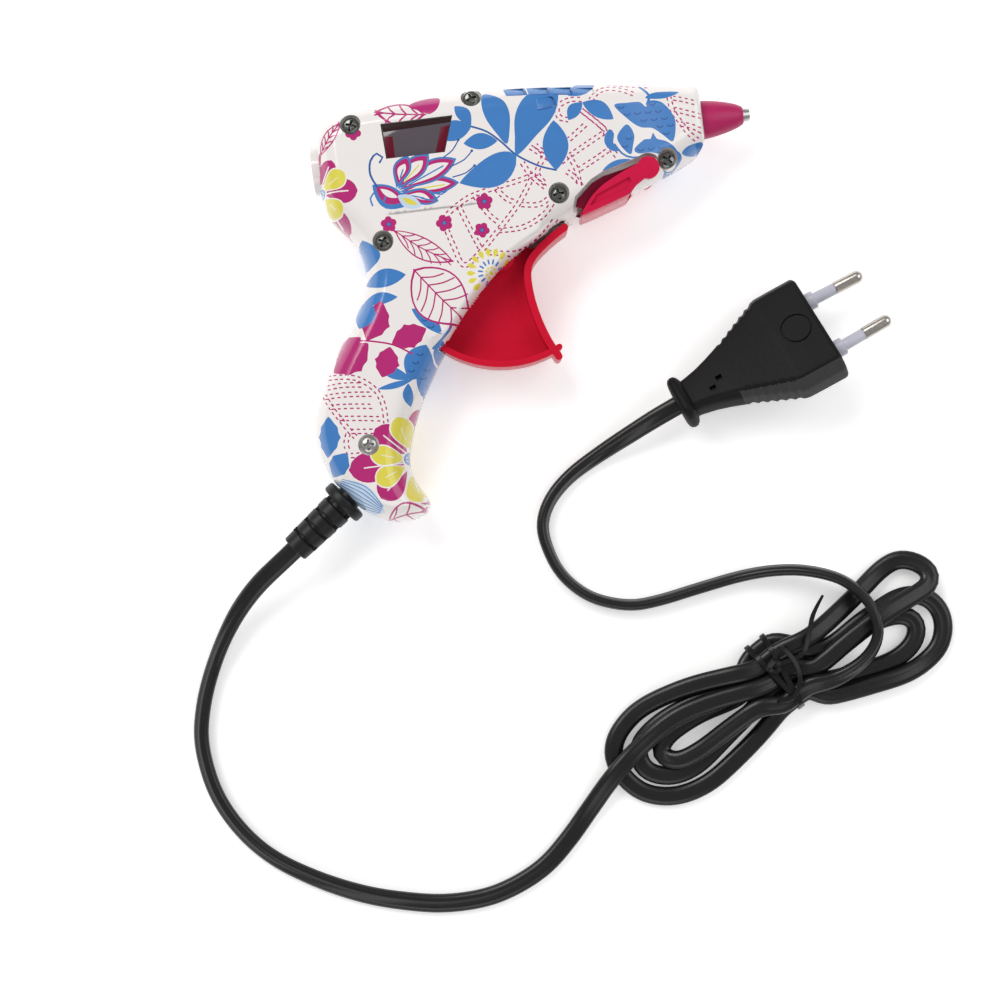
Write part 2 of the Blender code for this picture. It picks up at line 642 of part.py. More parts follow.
def window_pane(side):
    label = "right" if side > 0 else "left"
    part(f"window_pane_{label}", mirrored(prism(PANE, PANE_LOW, PANE_HIGH), side), SMOKED)


# --------------------------------------------------------------------------------------- fasteners

def screw_mesh():
    """A pan-head screw with a cross recess, standing on z = 0 under its head."""
    top, radius = SCREW_HEAD_HEIGHT, SCREW_HEAD_RADIUS
    profile = [(-SCREW_SHANK_LENGTH, 0), (1 - SCREW_SHANK_LENGTH, SCREW_SHANK_RADIUS), (0, SCREW_SHANK_RADIUS),
               (0, radius), (top * 0.55, radius), (top * 0.9, radius * 0.72), (top, 0)]
    master = tool("screw_master", turned(profile, axis="z", sides=16))
    bars = []
    for i, (length, width) in enumerate(((3.2, 0.7), (0.7, 3.2))):
        bars.append(tool(f"cross_{i}", block((-length / 2, length / 2), (-width / 2, width / 2), (top - 1.0, top + 1))))
    cut(master, *bars)
    graph = bpy.context.evaluated_depsgraph_get()
    return bpy.data.meshes.new_from_object(master.evaluated_get(graph))


def case_screws():
    mesh = screw_mesh()
    for i, (x, y, floor) in enumerate(CASE_SCREWS):
        finish = STEEL if i == len(CASE_SCREWS) - 1 else DARK_STEEL
        own = mesh.copy()
        own.materials.clear()
        own.materials.append(material(*finish))
        screw = bpy.data.objects.new(f"case_screw_{i + 1}", own)
        bpy.context.collection.objects.link(screw)
        screw.parent = GUN
        screw.location = Vector((x, y, floor + GAP)) * MM


def clamp_screw_places():
    """Where the cord clamp's two screws go, either side of the cord."""
    across = Vector((-RELIEF_WAY.y, RELIEF_WAY.x, 0))
    middle = RELIEF_SEAT - RELIEF_WAY * 10.0
    return [tuple((middle + across * reach).xy) for reach in (-4.4, 4.4)]


def cord_clamp():
    """The bar that holds the lead inside the handle, with its two screws."""
    ends = clamp_screw_places()
    bar = part("cord_clamp", prism(ribbon(ends, 4.4), 1.8, 3.8), BLACK_PLASTIC)
    cut(bar, *[tool(f"clamp_bar_hole_{i}", prism(circle(end, 1.5, 12), 1.0, 5.0)) for i, end in enumerate(ends)])
    for i, end in enumerate(ends):
        profile = [(-7.0, 0), (-6.2, 1.1), (4.1, 1.1), (4.1, 1.9), (5.2, 1.9), (5.6, 1.2), (5.6, 0)]
        part(f"clamp_screw_{i + 1}", turned(profile, axis="z", middle=end, sides=12), STEEL)


# ----------------------------------------------------------------------------------------- trigger

def trigger():
    """Thin web with a wide blade in front, a wide arc below, a hub and a forked arm inside the casing."""
    px, py = TRIGGER_PIVOT
    pivot = (px, py, 0.0)
    first, last = TRIGGER_ARC_SPAN
    arc = [(px + TRIGGER_ARC_RADIUS * math.cos(a), py + TRIGGER_ARC_RADIUS * math.sin(a))
           for a in (math.radians(first + (last - first) * k / 14) for k in range(15))]
    blade = rounded(BLADE_LINE, 3.4)
    web = [(49.4, -31.0), (55.5, -30.2), (62.0, -32.2)] + [tuple(p) for p in blade[2:-2]] + arc[1:]
    body = part("trigger", prism([tuple(p) for p in web], -TRIGGER_WEB_HALF, TRIGGER_WEB_HALF), RED, pivot)
    body.parent = GUN
    width = TRIGGER_HALF_WIDTH
    arm = [(-4.0, 0.0), (4.0, 0.0), (4.0, ARM_LENGTH), (-4.0, ARM_LENGTH)]
    lean = Matrix.Translation((px, py, 0)) @ Matrix.Rotation(ARM_LEAN, 4, "Z")
    arm_shape = prism(arm, -1.45, 1.45)
    arm_shape.transform(lean)
    fork = block((-1.6, 1.6), (19.0, 30.0), (-3.0, 3.0))
    fork.transform(lean)
    join(
        body,
        tool("trigger_blade", prism(ribbon(blade, BLADE_THICKNESS), -width, width)),
        tool("trigger_arc", prism(ribbon(arc, 1.8), 0.2 - width, width - 0.2)),
        tool("trigger_hub", prism(circle(TRIGGER_PIVOT, 4.2), 0.4 - width, width - 0.4)),
        tool("trigger_arm", arm_shape),
    )
    cut(
        body,
        tool("trigger_fork", fork),
        tool("trigger_bore", prism(circle(TRIGGER_PIVOT, 1.85, 16), -10.0, 10.0)),
    )
    part("trigger_pin", prism(circle(TRIGGER_PIVOT, 1.5, 16), -11.0, 11.0), STEEL)


# --------------------------------------------------------------------------- feed and melt chamber

def stick_guide():
    """The red tube that leads the glue stick from the rear opening to the carriage."""
    profile = [(7.0, 4.3), (7.0, 6.2), (8.2, 6.2), (8.2, 5.5), (24.2, 5.5), (24.2, 4.3)]
    part("stick_guide", turned(profile), RED)


def feed_carriage():
    """The block that slides forward on two ledges in the casing and carries the clamp lever."""
    half = CARRIAGE_HALF_WIDTH
    body = part("feed_carriage", block(CARRIAGE_X, (-6.6, 8.0), (-half, half)), RED, (CARRIAGE_X[0], 0, 0))
    join(body, tool("carriage_lugs", block((42.0, 52.0), (-3.4, 3.4), (-9.6, 9.6))))
    cut(
        body,
        tool("carriage_bore", turned([(30, 0), (30, STICK_BORE), (60, STICK_BORE), (60, 0)])),
        tool("carriage_slot", block((45.2, 51.4), (-9.0, 10.0), (-6.0, 6.0))),
        tool("carriage_pin_hole", prism(circle(LEVER_HINGE, 1.15, 12), -10.0, 10.0)),
    )
    part("clamp_lever_pin", prism(circle(LEVER_HINGE, 0.85, 12), -7.4, 7.4), STEEL)


def clamp_lever():
    """The plate round the stick that tilts and bites it, with a cross pin for the trigger's fork."""
    x, y = LEVER_HINGE
    plate = [(-9.1, -5.6), (5.0, -5.6), (6.0, -5.0), (6.0, 5.0), (5.0, 5.6), (-9.1, 5.6)]
    lever = part("clamp_lever", prism(plate, LEVER_X[0], LEVER_X[1], axis="x"), RED, (x, y, 0.0))
    join(
        lever,
        tool("lever_barrel", prism(circle((x, y), 1.9, 16), -5.4, 5.4)),
        tool("lever_prong_right", block(LEVER_X, (-14.2, -8.0), (2.2, 4.6))),
        tool("lever_prong_left", block(LEVER_X, (-14.2, -8.0), (-4.6, -2.2))),
        tool("lever_cross_pin", prism(circle(LEVER_PIN, 1.15, 12), -4.2, 4.2)),
    )
    cut(
        lever,
        tool("lever_bore", turned([(40, 0), (40, 3.9), (56, 3.9), (56, 0)])),
        tool("lever_hinge_hole", prism(circle(LEVER_HINGE, 1.15, 12), -10.0, 10.0)),
    )


def return_spring():
    """A coil round the stick's path, between the carriage and the feed sleeve."""
    steps = 12 * SPRING_TURNS
    line = []
    for k in range(steps + 1):
        turn = 2 * math.pi * SPRING_TURNS * k / steps
        along = SPRING_X[0] + (SPRING_X[1] - SPRING_X[0]) * k / steps
        line.append((along, SPRING_RADIUS * math.cos(turn), SPRING_RADIUS * math.sin(turn)))
    tube("return_spring", line, SPRING_WIRE, STEEL, resolution=1)


def melt_chamber():
    """The aluminium chamber with its inlet spout and the pocket for the heater below it."""
    profile = [(74.4, 3.9), (74.4, 4.6), (80.8, 4.6), (80.8, 6.5), (106.0, 6.5), (106.0, 4.4), (97.5, 4.4),
               (97.5, 3.9)]
    chamber = part("melt_chamber", turned(profile), ALUMINIUM)
    join(chamber, tool("heater_seat", block((82.0, 96.0), (-12.6, -5.0), (-5.2, 5.2))))
    cut(chamber, tool("heater_pocket", block((81.0, 94.0), (-11.4, -8.2), (-4.2, 4.2))))


def heater():
    """The self-regulating heater and the spring clip that presses its seat together."""
    part("heater_element", block((81.7, 93.6), (-11.1, -8.5), (-3.9, 3.9)), CERAMIC)
    clip = [(-5.0, -5.5), (-5.0, -6.1), (-13.6, -6.1), (-13.6, 6.1), (-5.0, 6.1), (-5.0, 5.5), (-12.95, 5.5),
            (-12.95, -5.5)]
    part("heater_clip", prism(clip, 85.0, 91.0, axis="x"), STEEL)


def feed_sleeve():
    """The silicone sleeve that seals the stick's way into the chamber."""
    profile = [(70.0, 3.9), (70.0, 7.0), (71.6, 7.0), (71.6, 6.1), (80.3, 6.1), (80.3, 5.0), (74.0, 5.0),
               (74.0, 3.9)]
    part("feed_sleeve", turned(profile), SILICONE)


def nozzle_radius(x):
    """The nozzle's outer radius along its cone."""
    return 4.2 - (x - 110.2) * 0.106


def nozzle():
    """The screwed-in nozzle and the silicone sleeve over it."""
    profile = [(98.2, 1.5), (98.2, 4.0), (106.4, 4.0), (106.4, 4.9), (110.2, 4.9), (110.2, 4.2),
               (130.2, nozzle_radius(130.2)), (131.8, 1.75), (131.8, 0.8), (129.0, 0.8), (126.0, 1.5)]
    part("nozzle_tip", turned(profile), STEEL)
    outside = [(110.6, 6.2), (112.3, 6.2), (112.5, 5.8), (117.0, 5.75), (119.5, 5.5), (122.2, 5.1), (124.8, 4.55),
               (127.2, 3.8), (128.8, 3.15), (129.7, 2.65)]
    inside = [(x, nozzle_radius(x) + 0.33) for x in (129.7, 110.6)]
    part("nozzle_sleeve", turned(outside + inside), MAGENTA)


# -------------------------------------------------------------------------------------------- stand

def stand():
    """The folding stand: two legs beside the casing, joined by a web under it, and its pin."""
    cx, cy = STAND_PIVOT
    arc = [(cx + STAND_BOSS_RADIUS * math.cos(a), cy + STAND_BOSS_RADIUS * math.sin(a))
           for a in (math.radians(d) for d in (-95, -65, -35, -5, 25, 55, 85, 115, 145))]
    leg = [tuple(p) for p in arc] + list(STAND_LINE_TOP) + list(STAND_LINE_LOW)
    low, high = STAND_LEG
    pivot = (cx, cy, 0.0)
    body = part("stand", prism(ribbon(rounded(STAND_WEB, 5.0), STAND_WEB_THICKNESS), -9.2, 9.2), CLEAR_RED, pivot)
    join(
        body,
        tool("stand_leg_right", prism(leg, low, high)),
        tool("stand_leg_left", prism(leg, -high, -low)),
    )
    cut(
        body,
        tool("stand_bore_right", prism(circle(STAND_PIVOT, 1.65, 16), low - 0.4, 10.4)),
        tool("stand_bore_left", prism(circle(STAND_PIVOT, 1.65, 16), -10.4, 0.4 - low)),
    )
    part("stand_pin", prism(circle(STAND_PIVOT, 1.3, 16), -10.1, 10.1), STEEL)


# ------------------------------------------------------------------------- cord inside the handle

def strain_relief():
    """The moulded sleeve on the lead: a disc against the casing, a neck through it and a ribbed taper."""
    profile = [(-4.2, 0), (-4.2, 4.6), (-2.9, 4.6), (-2.9, 3.9), (0.6, 3.9), (0.6, 6.8), (3.6, 6.8), (3.6, 3.9)]
    starts = (5.0, 9.6, 14.1, 18.5)
    for i, start in enumerate(starts):
        radius = 4.95 - 0.17 * i
        end = RELIEF_LENGTH if i == len(starts) - 1 else start + 3.6
        profile += [(start, radius - 0.9), (start, radius), (end, radius - 0.12), (end, radius - 0.9)]
    profile.append((RELIEF_LENGTH, 0))
    bm = turned(profile)
    turn = RELIEF_WAY.to_track_quat("X", "Z").to_matrix().to_4x4()
    bm.transform(Matrix.Translation(RELIEF_SEAT) @ turn)
    part("strain_relief", bm, BLACK)


def lead_end():
    """The sheathed end of the lead inside the handle, under the clamp."""
    line = [tuple((RELIEF_SEAT - RELIEF_WAY * reach).xy) for reach in (4.6, 15.0)]
    (x0, y0), (x1, y1) = line
    across = Vector((-(y1 - y0), x1 - x0)).normalized() * 2.6
    outline = [(x0 + across.x, y0 + across.y), (x0 - across.x, y0 - across.y),
               (x1 - across.x, y1 - across.y), (x1 + across.x, y1 + across.y)]
    part("lead_end", prism(outline, -1.5, 1.5), BLACK)


def inner_wire(name, side, finish):
    """One insulated wire from the lead's end to the heater, round the trigger's path."""
    across = Vector((-RELIEF_WAY.y, RELIEF_WAY.x, 0)) * 1.3 * side
    start = RELIEF_SEAT - RELIEF_WAY * 16.4 + across
    route = [
        tuple(start), (12.5, -85.0, 2.4 * side), (12.9, -77.5, 4.2 * side), (12.9, -70.0, 4.2 * side),
        (12.9, -62.5, 4.2 * side), (13.2, -52.0, 4.5 * side), (14.6, -42.0, 4.5 * side),
        (16.3, -35.2, 4.5 * side), (21.5, -31.4, 4.5 * side), (30.0, -29.0, 4.5 * side),
        (40.0, -24.4, 4.5 * side), (50.0, -18.8, 4.5 * side), (62.0, -16.6, 4.5 * side),
        (71.5, -13.6, 4.5 * side), (77.0, -11.2, 3.4 * side), (81.2, -9.8, 2.4 * side),
    ]
    tube(name, rounded(route, 5.5), 0.8, finish, resolution=1)


def crimp(name, side):
    """The crimped joint round one wire."""
    ring = circle((4.2 * side, 12.9), 1.75, 12)
    body = part(name, prism(ring, -73.0, -67.0, axis="y"), STEEL)
    cut(body, tool(f"{name}_bore", prism(circle((4.2 * side, 12.9), 1.2, 12), -75.0, -65.0, axis="y")))


# ------------------------------------------------------------------------------ lead, hank and plug

def mains_lead():
    """The free lead: a tube to the hank, the hank's outer shape with its tie, and a tube to the plug."""
    tube("mains_lead", rounded(LEAD_ROUTE, CORD_SPACING), CORD_RADIUS, BLACK)
    tube("plug_lead", rounded(TAIL_ROUTE, CORD_SPACING), CORD_RADIUS, BLACK)
    edge = [tuple(p) for p in rounded(HANK_EDGE, 9.0, closed=True)]
    part("cord_hank", prism(edge, FLOOR, FLOOR + HANK_HEIGHT), BLACK)
    top = FLOOR + HANK_HEIGHT
    reach = TIE_HALF_SPAN
    arch = [(-reach - 1.0, FLOOR), (-reach, FLOOR), (-reach, top + GAP), (reach, top + GAP), (reach, FLOOR),
            (reach + 1.0, FLOOR), (reach + 1.0, top + 1.3), (-reach - 1.0, top + 1.3)]
    band = prism([(height, across) for across, height in arch], -1.1, 1.1, axis="y")
    band.transform(Matrix.Translation((*TIE_MIDDLE, 0)) @ Matrix.Rotation(TIE_WAY, 4, "Z"))
    part("cord_tie", band, BLACK_PLASTIC)


def plug_axes():
    """An empty that holds the plug's own axes."""
    way = (PLUG_FRONT - PLUG_REAR).normalized()
    turn = way.to_track_quat("X", "Z").to_matrix() @ Matrix.Rotation(PLUG_TILT, 3, "X")
    empty = axes("plug_axes", (0.0, 0.0, 0.0))
    empty.parent = GUN
    empty.location = PLUG_REAR * MM
    empty.rotation_euler = turn.to_euler()
    return empty


def plug_section(x, half_width, half_thickness):
    """One cross-section of the plug: eight sides, widest at mid thickness."""
    w, t = half_width, half_thickness
    corners = ((w, 0.45 * t), (0.84 * w, t), (-0.84 * w, t), (-w, 0.45 * t))
    around = list(corners) + [(-y, -z) for y, z in corners]
    return [(x, y, z) for y, z in around]


def plug_body(holder):
    """The flat two-pin plug: a collar, a ridged taper and a wide front."""
    stations = list(PLUG_STATIONS)
    first, last = PLUG_GRIP
    for k in range(2 * PLUG_GRIP_RIDGES):
        x = first + (last - first) * k / (2 * PLUG_GRIP_RIDGES - 1)
        share = (x - 18.4) / (34.0 - 18.4)
        inset = PLUG_GRIP_DEPTH * (k % 2)
        stations.append((x, 9.6 + (17.3 - 9.6) * share - inset, 5.4 + (6.7 - 5.4) * share - inset))
    stations.sort()
    body = part("plug_body", lofted([plug_section(*station) for station in stations]), BLACK, parent=holder)
    collar = [(0.0, 6.0, 4.8), (0.8, 7.4, 6.2), (3.0, 7.6, 6.4), (4.0, 6.8, 5.6), (4.6, 5.2, 4.2)]
    join(body, tool("plug_collar", lofted([plug_section(*station) for station in collar]), parent=holder))


def plug_pin(index, side, holder):
    """One pin with its insulating sleeve, leaning slightly towards the other."""
    lean = math.atan2((PIN_SPACING - PIN_TIP_SPACING) / 2, PIN_LENGTH)
    base = Vector((PLUG_LENGTH + GAP, side * PIN_SPACING / 2, 0.0))
    place = Matrix.Translation(base) @ Matrix.Rotation(-side * lean, 4, "Z")
    bare = SLEEVE_LENGTH + GAP
    round_end = [(PIN_LENGTH - PIN_RADIUS * (1 - math.sin(a)), PIN_RADIUS * math.cos(a))
                 for a in (math.radians(d) for d in (0, 30, 60))]
    pin = turned([(bare, 0), (bare, PIN_RADIUS)] + round_end + [(PIN_LENGTH, 0)], sides=16)
    pin.transform(place)
    part(f"plug_pin_{index}", pin, NICKEL, parent=holder)
    sleeve = turned([(0, 0), (0, 2.0), (3.2, 2.0), (3.2, 1.75), (SLEEVE_LENGTH, 1.75), (SLEEVE_LENGTH, 0)], sides=16)
    sleeve.transform(place)
    part(f"pin_sleeve_{index}", sleeve, PIN_SLEEVE, parent=holder)


def plug():
    holder = plug_axes()
    plug_body(holder)
    plug_pin(1, 1, holder)
    plug_pin(2, -1, holder)


# --------------------------------------------------------------------------------------- the object

for old in list(bpy.data.objects):
    bpy.data.objects.remove(old)

GUN = axes("gun_axes", (0.0, 0.0, 0.0))
GUN.location = BARREL_REAR * MM

for which in (1, -1):
    casing(which)
    window_pane(which)
case_screws()
trigger()
stick_guide()
feed_carriage()
clamp_lever()
return_spring()
feed_sleeve()
melt_chamber()
heater()
nozzle()
stand()
strain_relief()
lead_end()
cord_clamp()
inner_wire("live_wire", 1, BROWN)
inner_wire("neutral_wire", -1, BLUE)
crimp("live_crimp", 1)
crimp("neutral_crimp", -1)
mains_lead()
plug()
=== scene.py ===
import math

import bmesh
import bpy
import numpy as np
from mathutils import Matrix, Vector
from mathutils.geometry import delaunay_2d_cdt


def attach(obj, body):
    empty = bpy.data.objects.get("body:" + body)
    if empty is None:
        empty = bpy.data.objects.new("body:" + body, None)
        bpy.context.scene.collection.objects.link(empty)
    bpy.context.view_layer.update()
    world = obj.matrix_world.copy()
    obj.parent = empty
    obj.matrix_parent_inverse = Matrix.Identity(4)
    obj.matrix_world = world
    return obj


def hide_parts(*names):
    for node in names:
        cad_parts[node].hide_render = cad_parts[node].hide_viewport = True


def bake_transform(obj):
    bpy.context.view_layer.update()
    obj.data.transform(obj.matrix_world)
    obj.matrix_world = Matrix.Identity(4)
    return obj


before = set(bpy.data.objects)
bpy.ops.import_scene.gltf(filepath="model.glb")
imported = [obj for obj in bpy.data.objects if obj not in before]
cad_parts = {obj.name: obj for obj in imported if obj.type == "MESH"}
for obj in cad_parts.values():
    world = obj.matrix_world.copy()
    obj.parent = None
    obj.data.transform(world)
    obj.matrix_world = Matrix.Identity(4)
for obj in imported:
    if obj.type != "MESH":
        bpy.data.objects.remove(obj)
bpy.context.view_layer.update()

# Shapes are written in millimetres in the gun's own axes: x forward along the barrel from its rear,
# y up from its axis, z out of the right side from the seam.
MM = 0.001
BARREL_REAR = Vector((-54.939, 49.808, 14.0))
FLOOR = -14.0


def to_row(point):
    """A place in gun millimetres as a place in the row frame."""
    return (Vector(point) + BARREL_REAR) * MM


# ------------------------------------------------------------------------------------ camera and light

ROLL = math.radians(-7.0)
EYE = to_row((43.5, -105.7, 0.0))
camera_data = bpy.data.cameras.new("camera")
camera_data.sensor_width = 36.0
camera_data.angle = 2 * math.atan(150.0 / 586.0)
camera_data.clip_start = 0.01
camera = bpy.data.objects.new("camera", camera_data)
camera.location = (EYE.x, EYE.y, 0.600)
camera.rotation_euler = (0.0, 0.0, ROLL)
bpy.context.scene.collection.objects.link(camera)
bpy.context.scene.camera = camera


def area_light(name, place, aim, size, power, colour=(1.0, 1.0, 1.0)):
    data = bpy.data.lights.new(name, "AREA")
    data.shape = "RECTANGLE"
    data.size, data.size_y = size
    data.energy = power
    data.color = colour
    light = bpy.data.objects.new(name, data)
    light.location = place
    light.rotation_euler = (Vector(aim) - Vector(place)).to_track_quat("-Z", "Y").to_euler()
    bpy.context.scene.collection.objects.link(light)
    return light


area_light("key", (-0.55, 0.75, 1.05), (0.0, -0.05, 0.0), (0.9, 0.7), 10.2, (1.0, 0.99, 0.97))
area_light("fill", (0.85, 0.15, 0.9), (0.0, -0.05, 0.0), (0.9, 0.9), 4.2, (0.97, 0.98, 1.0))
area_light("low", (-0.2, -0.95, 0.7), (0.0, -0.1, 0.0), (1.0, 0.6), 3.0)

world = bpy.data.worlds.new("studio")
bpy.context.scene.world = world
world.use_nodes = True
world.node_tree.nodes["Background"].inputs["Color"].default_value = (1.0, 1.0, 1.0, 1.0)
world.node_tree.nodes["Background"].inputs["Strength"].default_value = 0.36
bpy.context.scene.view_settings.view_transform = "Standard"


# ------------------------------------------------------------------------------------------ materials

PLASTIC_IOR = 1.46


def shader_of(name, colour, roughness, metallic=0.0, coat=0.0, specular=0.5):
    """A material with a Principled BSDF, with its nodes, links and shader."""
    made = bpy.data.materials.new(name)
    made.use_nodes = True
    shader = made.node_tree.nodes["Principled BSDF"]
    shader.inputs["Base Color"].default_value = (*colour, 1.0)
    shader.inputs["Roughness"].default_value = roughness
    shader.inputs["Metallic"].default_value = metallic
    shader.inputs["Coat Weight"].default_value = coat
    shader.inputs["Coat Roughness"].default_value = 0.08
    shader.inputs["IOR"].default_value = PLASTIC_IOR
    shader.inputs["Specular IOR Level"].default_value = specular
    made.diffuse_color = (*colour, 1.0)
    return made, made.node_tree.nodes, made.node_tree.links, shader


def object_coordinates(nodes, links, scale):
    """Coordinates in millimetres times scale, fixed to the object."""
    place = nodes.new("ShaderNodeTexCoord")
    mapping = nodes.new("ShaderNodeMapping")
    mapping.inputs["Scale"].default_value = tuple(1000.0 * s for s in scale)
    links.new(place.outputs["Object"], mapping.inputs["Vector"])
    return mapping.outputs["Vector"]


def noise(nodes, links, vector, scale, detail=3.0, roughness=0.5):
    made = nodes.new("ShaderNodeTexNoise")
    made.inputs["Scale"].default_value = scale
    made.inputs["Detail"].default_value = detail
    made.inputs["Roughness"].default_value = roughness
    links.new(vector, made.inputs["Vector"])
    return made.outputs["Fac"]


def bumped(nodes, links, shader, height, strength, distance):
    bump = nodes.new("ShaderNodeBump")
    bump.inputs["Strength"].default_value = strength
    bump.inputs["Distance"].default_value = distance * MM
    links.new(height, bump.inputs["Height"])
    links.new(bump.outputs["Normal"], shader.inputs["Normal"])
    return bump


def spread(nodes, links, value, low, high):
    """A value from 0 to 1 carried to a range."""
    made = nodes.new("ShaderNodeMapRange")
    made.inputs["From Min"].default_value = 0.3
    made.inputs["From Max"].default_value = 0.7
    made.inputs["To Min"].default_value = low
    made.inputs["To Max"].default_value = high
    links.new(value, made.inputs["Value"])
    return made.outputs["Result"]


def toned(nodes, links, shader, value, dark, light):
    """Colour that wanders between two shades."""
    mix = nodes.new("ShaderNodeMix")
    mix.data_type = "RGBA"
    mix.inputs["A"].default_value = (*dark, 1.0)
    mix.inputs["B"].default_value = (*light, 1.0)
    links.new(value, mix.inputs["Factor"])
    links.new(mix.outputs["Result"], shader.inputs["Base Color"])


def moulded(name, colour, roughness=0.25, coat=0.0, grain=0.04, grain_size=2.2, shade=0.06, **more):
    """Moulded plastic or silicone: slight waviness, slight changes of shade and of gloss."""
    made, nodes, links, shader = shader_of(name, colour, roughness, coat=coat, **more)
    where = object_coordinates(nodes, links, (1.0, 1.0, 1.0))
    broad = noise(nodes, links, where, 0.12, 2.0)
    fine = noise(nodes, links, where, grain_size, 4.0, 0.6)
    toned(nodes, links, shader, broad, tuple(c * (1 - shade) for c in colour),
          tuple(min(1.0, c * (1 + shade)) for c in colour))
    links.new(spread(nodes, links, fine, roughness * 0.85, min(1.0, roughness * 1.2)),
              shader.inputs["Roughness"])
    bumped(nodes, links, shader, fine, grain, 0.25)
    return made


def metal(name, colour, roughness, stretch=(0.3, 0.3, 4.0), wear=0.25):
    """Machined or plated metal: fine lines one way and uneven gloss."""
    made, nodes, links, shader = shader_of(name, colour, roughness, metallic=1.0)
    where = object_coordinates(nodes, links, stretch)
    lines = noise(nodes, links, where, 3.0, 6.0, 0.65)
    toned(nodes, links, shader, lines, tuple(c * (1 - wear) for c in colour), colour)
    links.new(spread(nodes, links, lines, roughness * 0.7, roughness * 1.4), shader.inputs["Roughness"])
    bumped(nodes, links, shader, lines, 0.08, 0.1)
    return made


INKS = {
    "white": moulded("casing_white", (0.86, 0.82, 0.80), 0.14, coat=0.6, grain=0.012, grain_size=0.5,
                     shade=0.015),
    "blue": moulded("ink_blue", (0.045, 0.20, 0.53), 0.2, coat=0.5, grain=0.02, grain_size=0.8, shade=0.08),
    "deep": moulded("ink_deep_blue", (0.022, 0.105, 0.36), 0.2, coat=0.5, grain=0.02, shade=0.08),
    "pale": moulded("ink_pale_blue", (0.55, 0.68, 0.84), 0.2, coat=0.5, grain=0.02, shade=0.05),
    "magenta": moulded("ink_magenta", (0.46, 0.012, 0.165), 0.2, coat=0.5, grain=0.02, shade=0.08),
    "plum": moulded("ink_plum", (0.20, 0.012, 0.14), 0.2, coat=0.5, grain=0.02, shade=0.08),
    "yellow": moulded("ink_yellow", (0.74, 0.66, 0.075), 0.2, coat=0.5, grain=0.02, shade=0.06),
}
INK_ORDER = list(INKS)

RED = moulded("red_plastic", (0.60, 0.010, 0.034), 0.3, grain=0.01, grain_size=0.8, specular=0.3)
CLEAR_RED = moulded("clear_red_plastic", (0.60, 0.014, 0.065), 0.2, grain=0.01, grain_size=0.6, specular=0.35)
# a darker clear red: painted shade for the sheets in the stand's recess
RECESS_SHADE_RED = moulded("clear_red_painted_shade", (0.20, 0.012, 0.035), 0.2, grain=0.01, grain_size=0.6, specular=0.2)
for red in (RED, CLEAR_RED, RECESS_SHADE_RED):
    red.node_tree.nodes["Principled BSDF"].inputs["Specular Tint"].default_value = (1.0, 0.12, 0.2, 1.0)
MAGENTA_SILICONE = moulded("magenta_silicone", (0.44, 0.012, 0.105), 0.36, grain=0.03, specular=0.4)
PALE_SILICONE = moulded("pale_silicone", (0.72, 0.70, 0.66), 0.5)
SMOKED = moulded("smoked_plastic", (0.085, 0.07, 0.085), 0.08, coat=0.6, grain=0.01, grain_size=0.5)
BLACK_RUBBER = moulded("black_rubber", (0.008, 0.008, 0.009), 0.4, grain=0.05, shade=0.2, specular=0.35)
CORD_BLACK = moulded("cord_black", (0.007, 0.0065, 0.007), 0.3, grain=0.03, grain_size=1.4, shade=0.25,
                     specular=0.5)
PLUG_BLACK = moulded("plug_black", (0.007, 0.007, 0.0075), 0.5, grain=0.03, shade=0.2, specular=0.16)
TIE_BLACK = moulded("tie_black", (0.006, 0.006, 0.0065), 0.3, grain=0.05, shade=0.2, specular=0.35)
SLEEVE_GREY = moulded("pin_sleeve_grey", (0.50, 0.50, 0.58), 0.3, grain=0.02)
STEEL = metal("bright_steel", (0.60, 0.59, 0.57), 0.28)
DARK_STEEL = metal("blackened_steel", (0.24, 0.25, 0.24), 0.24, wear=0.45)
NICKEL = metal("nickel", (0.66, 0.62, 0.57), 0.2)
ALUMINIUM = metal("cast_aluminium", (0.66, 0.66, 0.67), 0.5, stretch=(1.0, 1.0, 1.0))
CERAMIC = moulded("ceramic", (0.46, 0.40, 0.32), 0.75, grain=0.15)
BROWN = moulded("brown_insulation", (0.12, 0.035, 0.012), 0.4)
BLUE = moulded("blue_insulation", (0.02, 0.07, 0.33), 0.4)


def grainy_black():
    """The plug's textured flank: black with a coarse moulded grain."""
    made, nodes, links, shader = shader_of("plug_grain", (0.02, 0.02, 0.021), 0.6, specular=0.3)
    where = object_coordinates(nodes, links, (1.0, 1.0, 1.0))
    coarse = noise(nodes, links, where, 2.6, 5.0, 0.7)
    toned(nodes, links, shader, coarse, (0.012, 0.012, 0.013), (0.06, 0.06, 0.063))
    bumped(nodes, links, shader, coarse, 0.5, 0.3)
    return made


PLUG_GRAIN = grainy_black()


# ---------------------------------------------------------------------------------------- making shapes

def rounded(points, step, closed=False):
    """Points about one step apart on the smooth curve through the given points."""
    knots = [Vector(p) for p in points]
    count = len(knots)
    line = []
    for i in range(count if closed else count - 1):
        if closed:
            a, b, c, d = (knots[(i + k) % count] for k in (-1, 0, 1, 2))
        else:
            a, b, c, d = (knots[min(max(i + k, 0), count - 1)] for k in (-1, 0, 1, 2))
        pieces = max(1, round((c - b).length / step))
        for j in range(pieces):
            t = j / pieces
            line.append(0.5 * ((2 * b) + (c - a) * t + (2 * a - 5 * b + 4 * c - d) * t ** 2
                               + (3 * b - a - 3 * c + d) * t ** 3))
    if not closed:
        line.append(knots[-1])
    return line


def circle(middle, radius, sides=32):
    x, y = middle
    turn = 2 * math.pi / sides
    return [(x + radius * math.cos((i + 0.5) * turn), y + radius * math.sin((i + 0.5) * turn))
            for i in range(sides)]


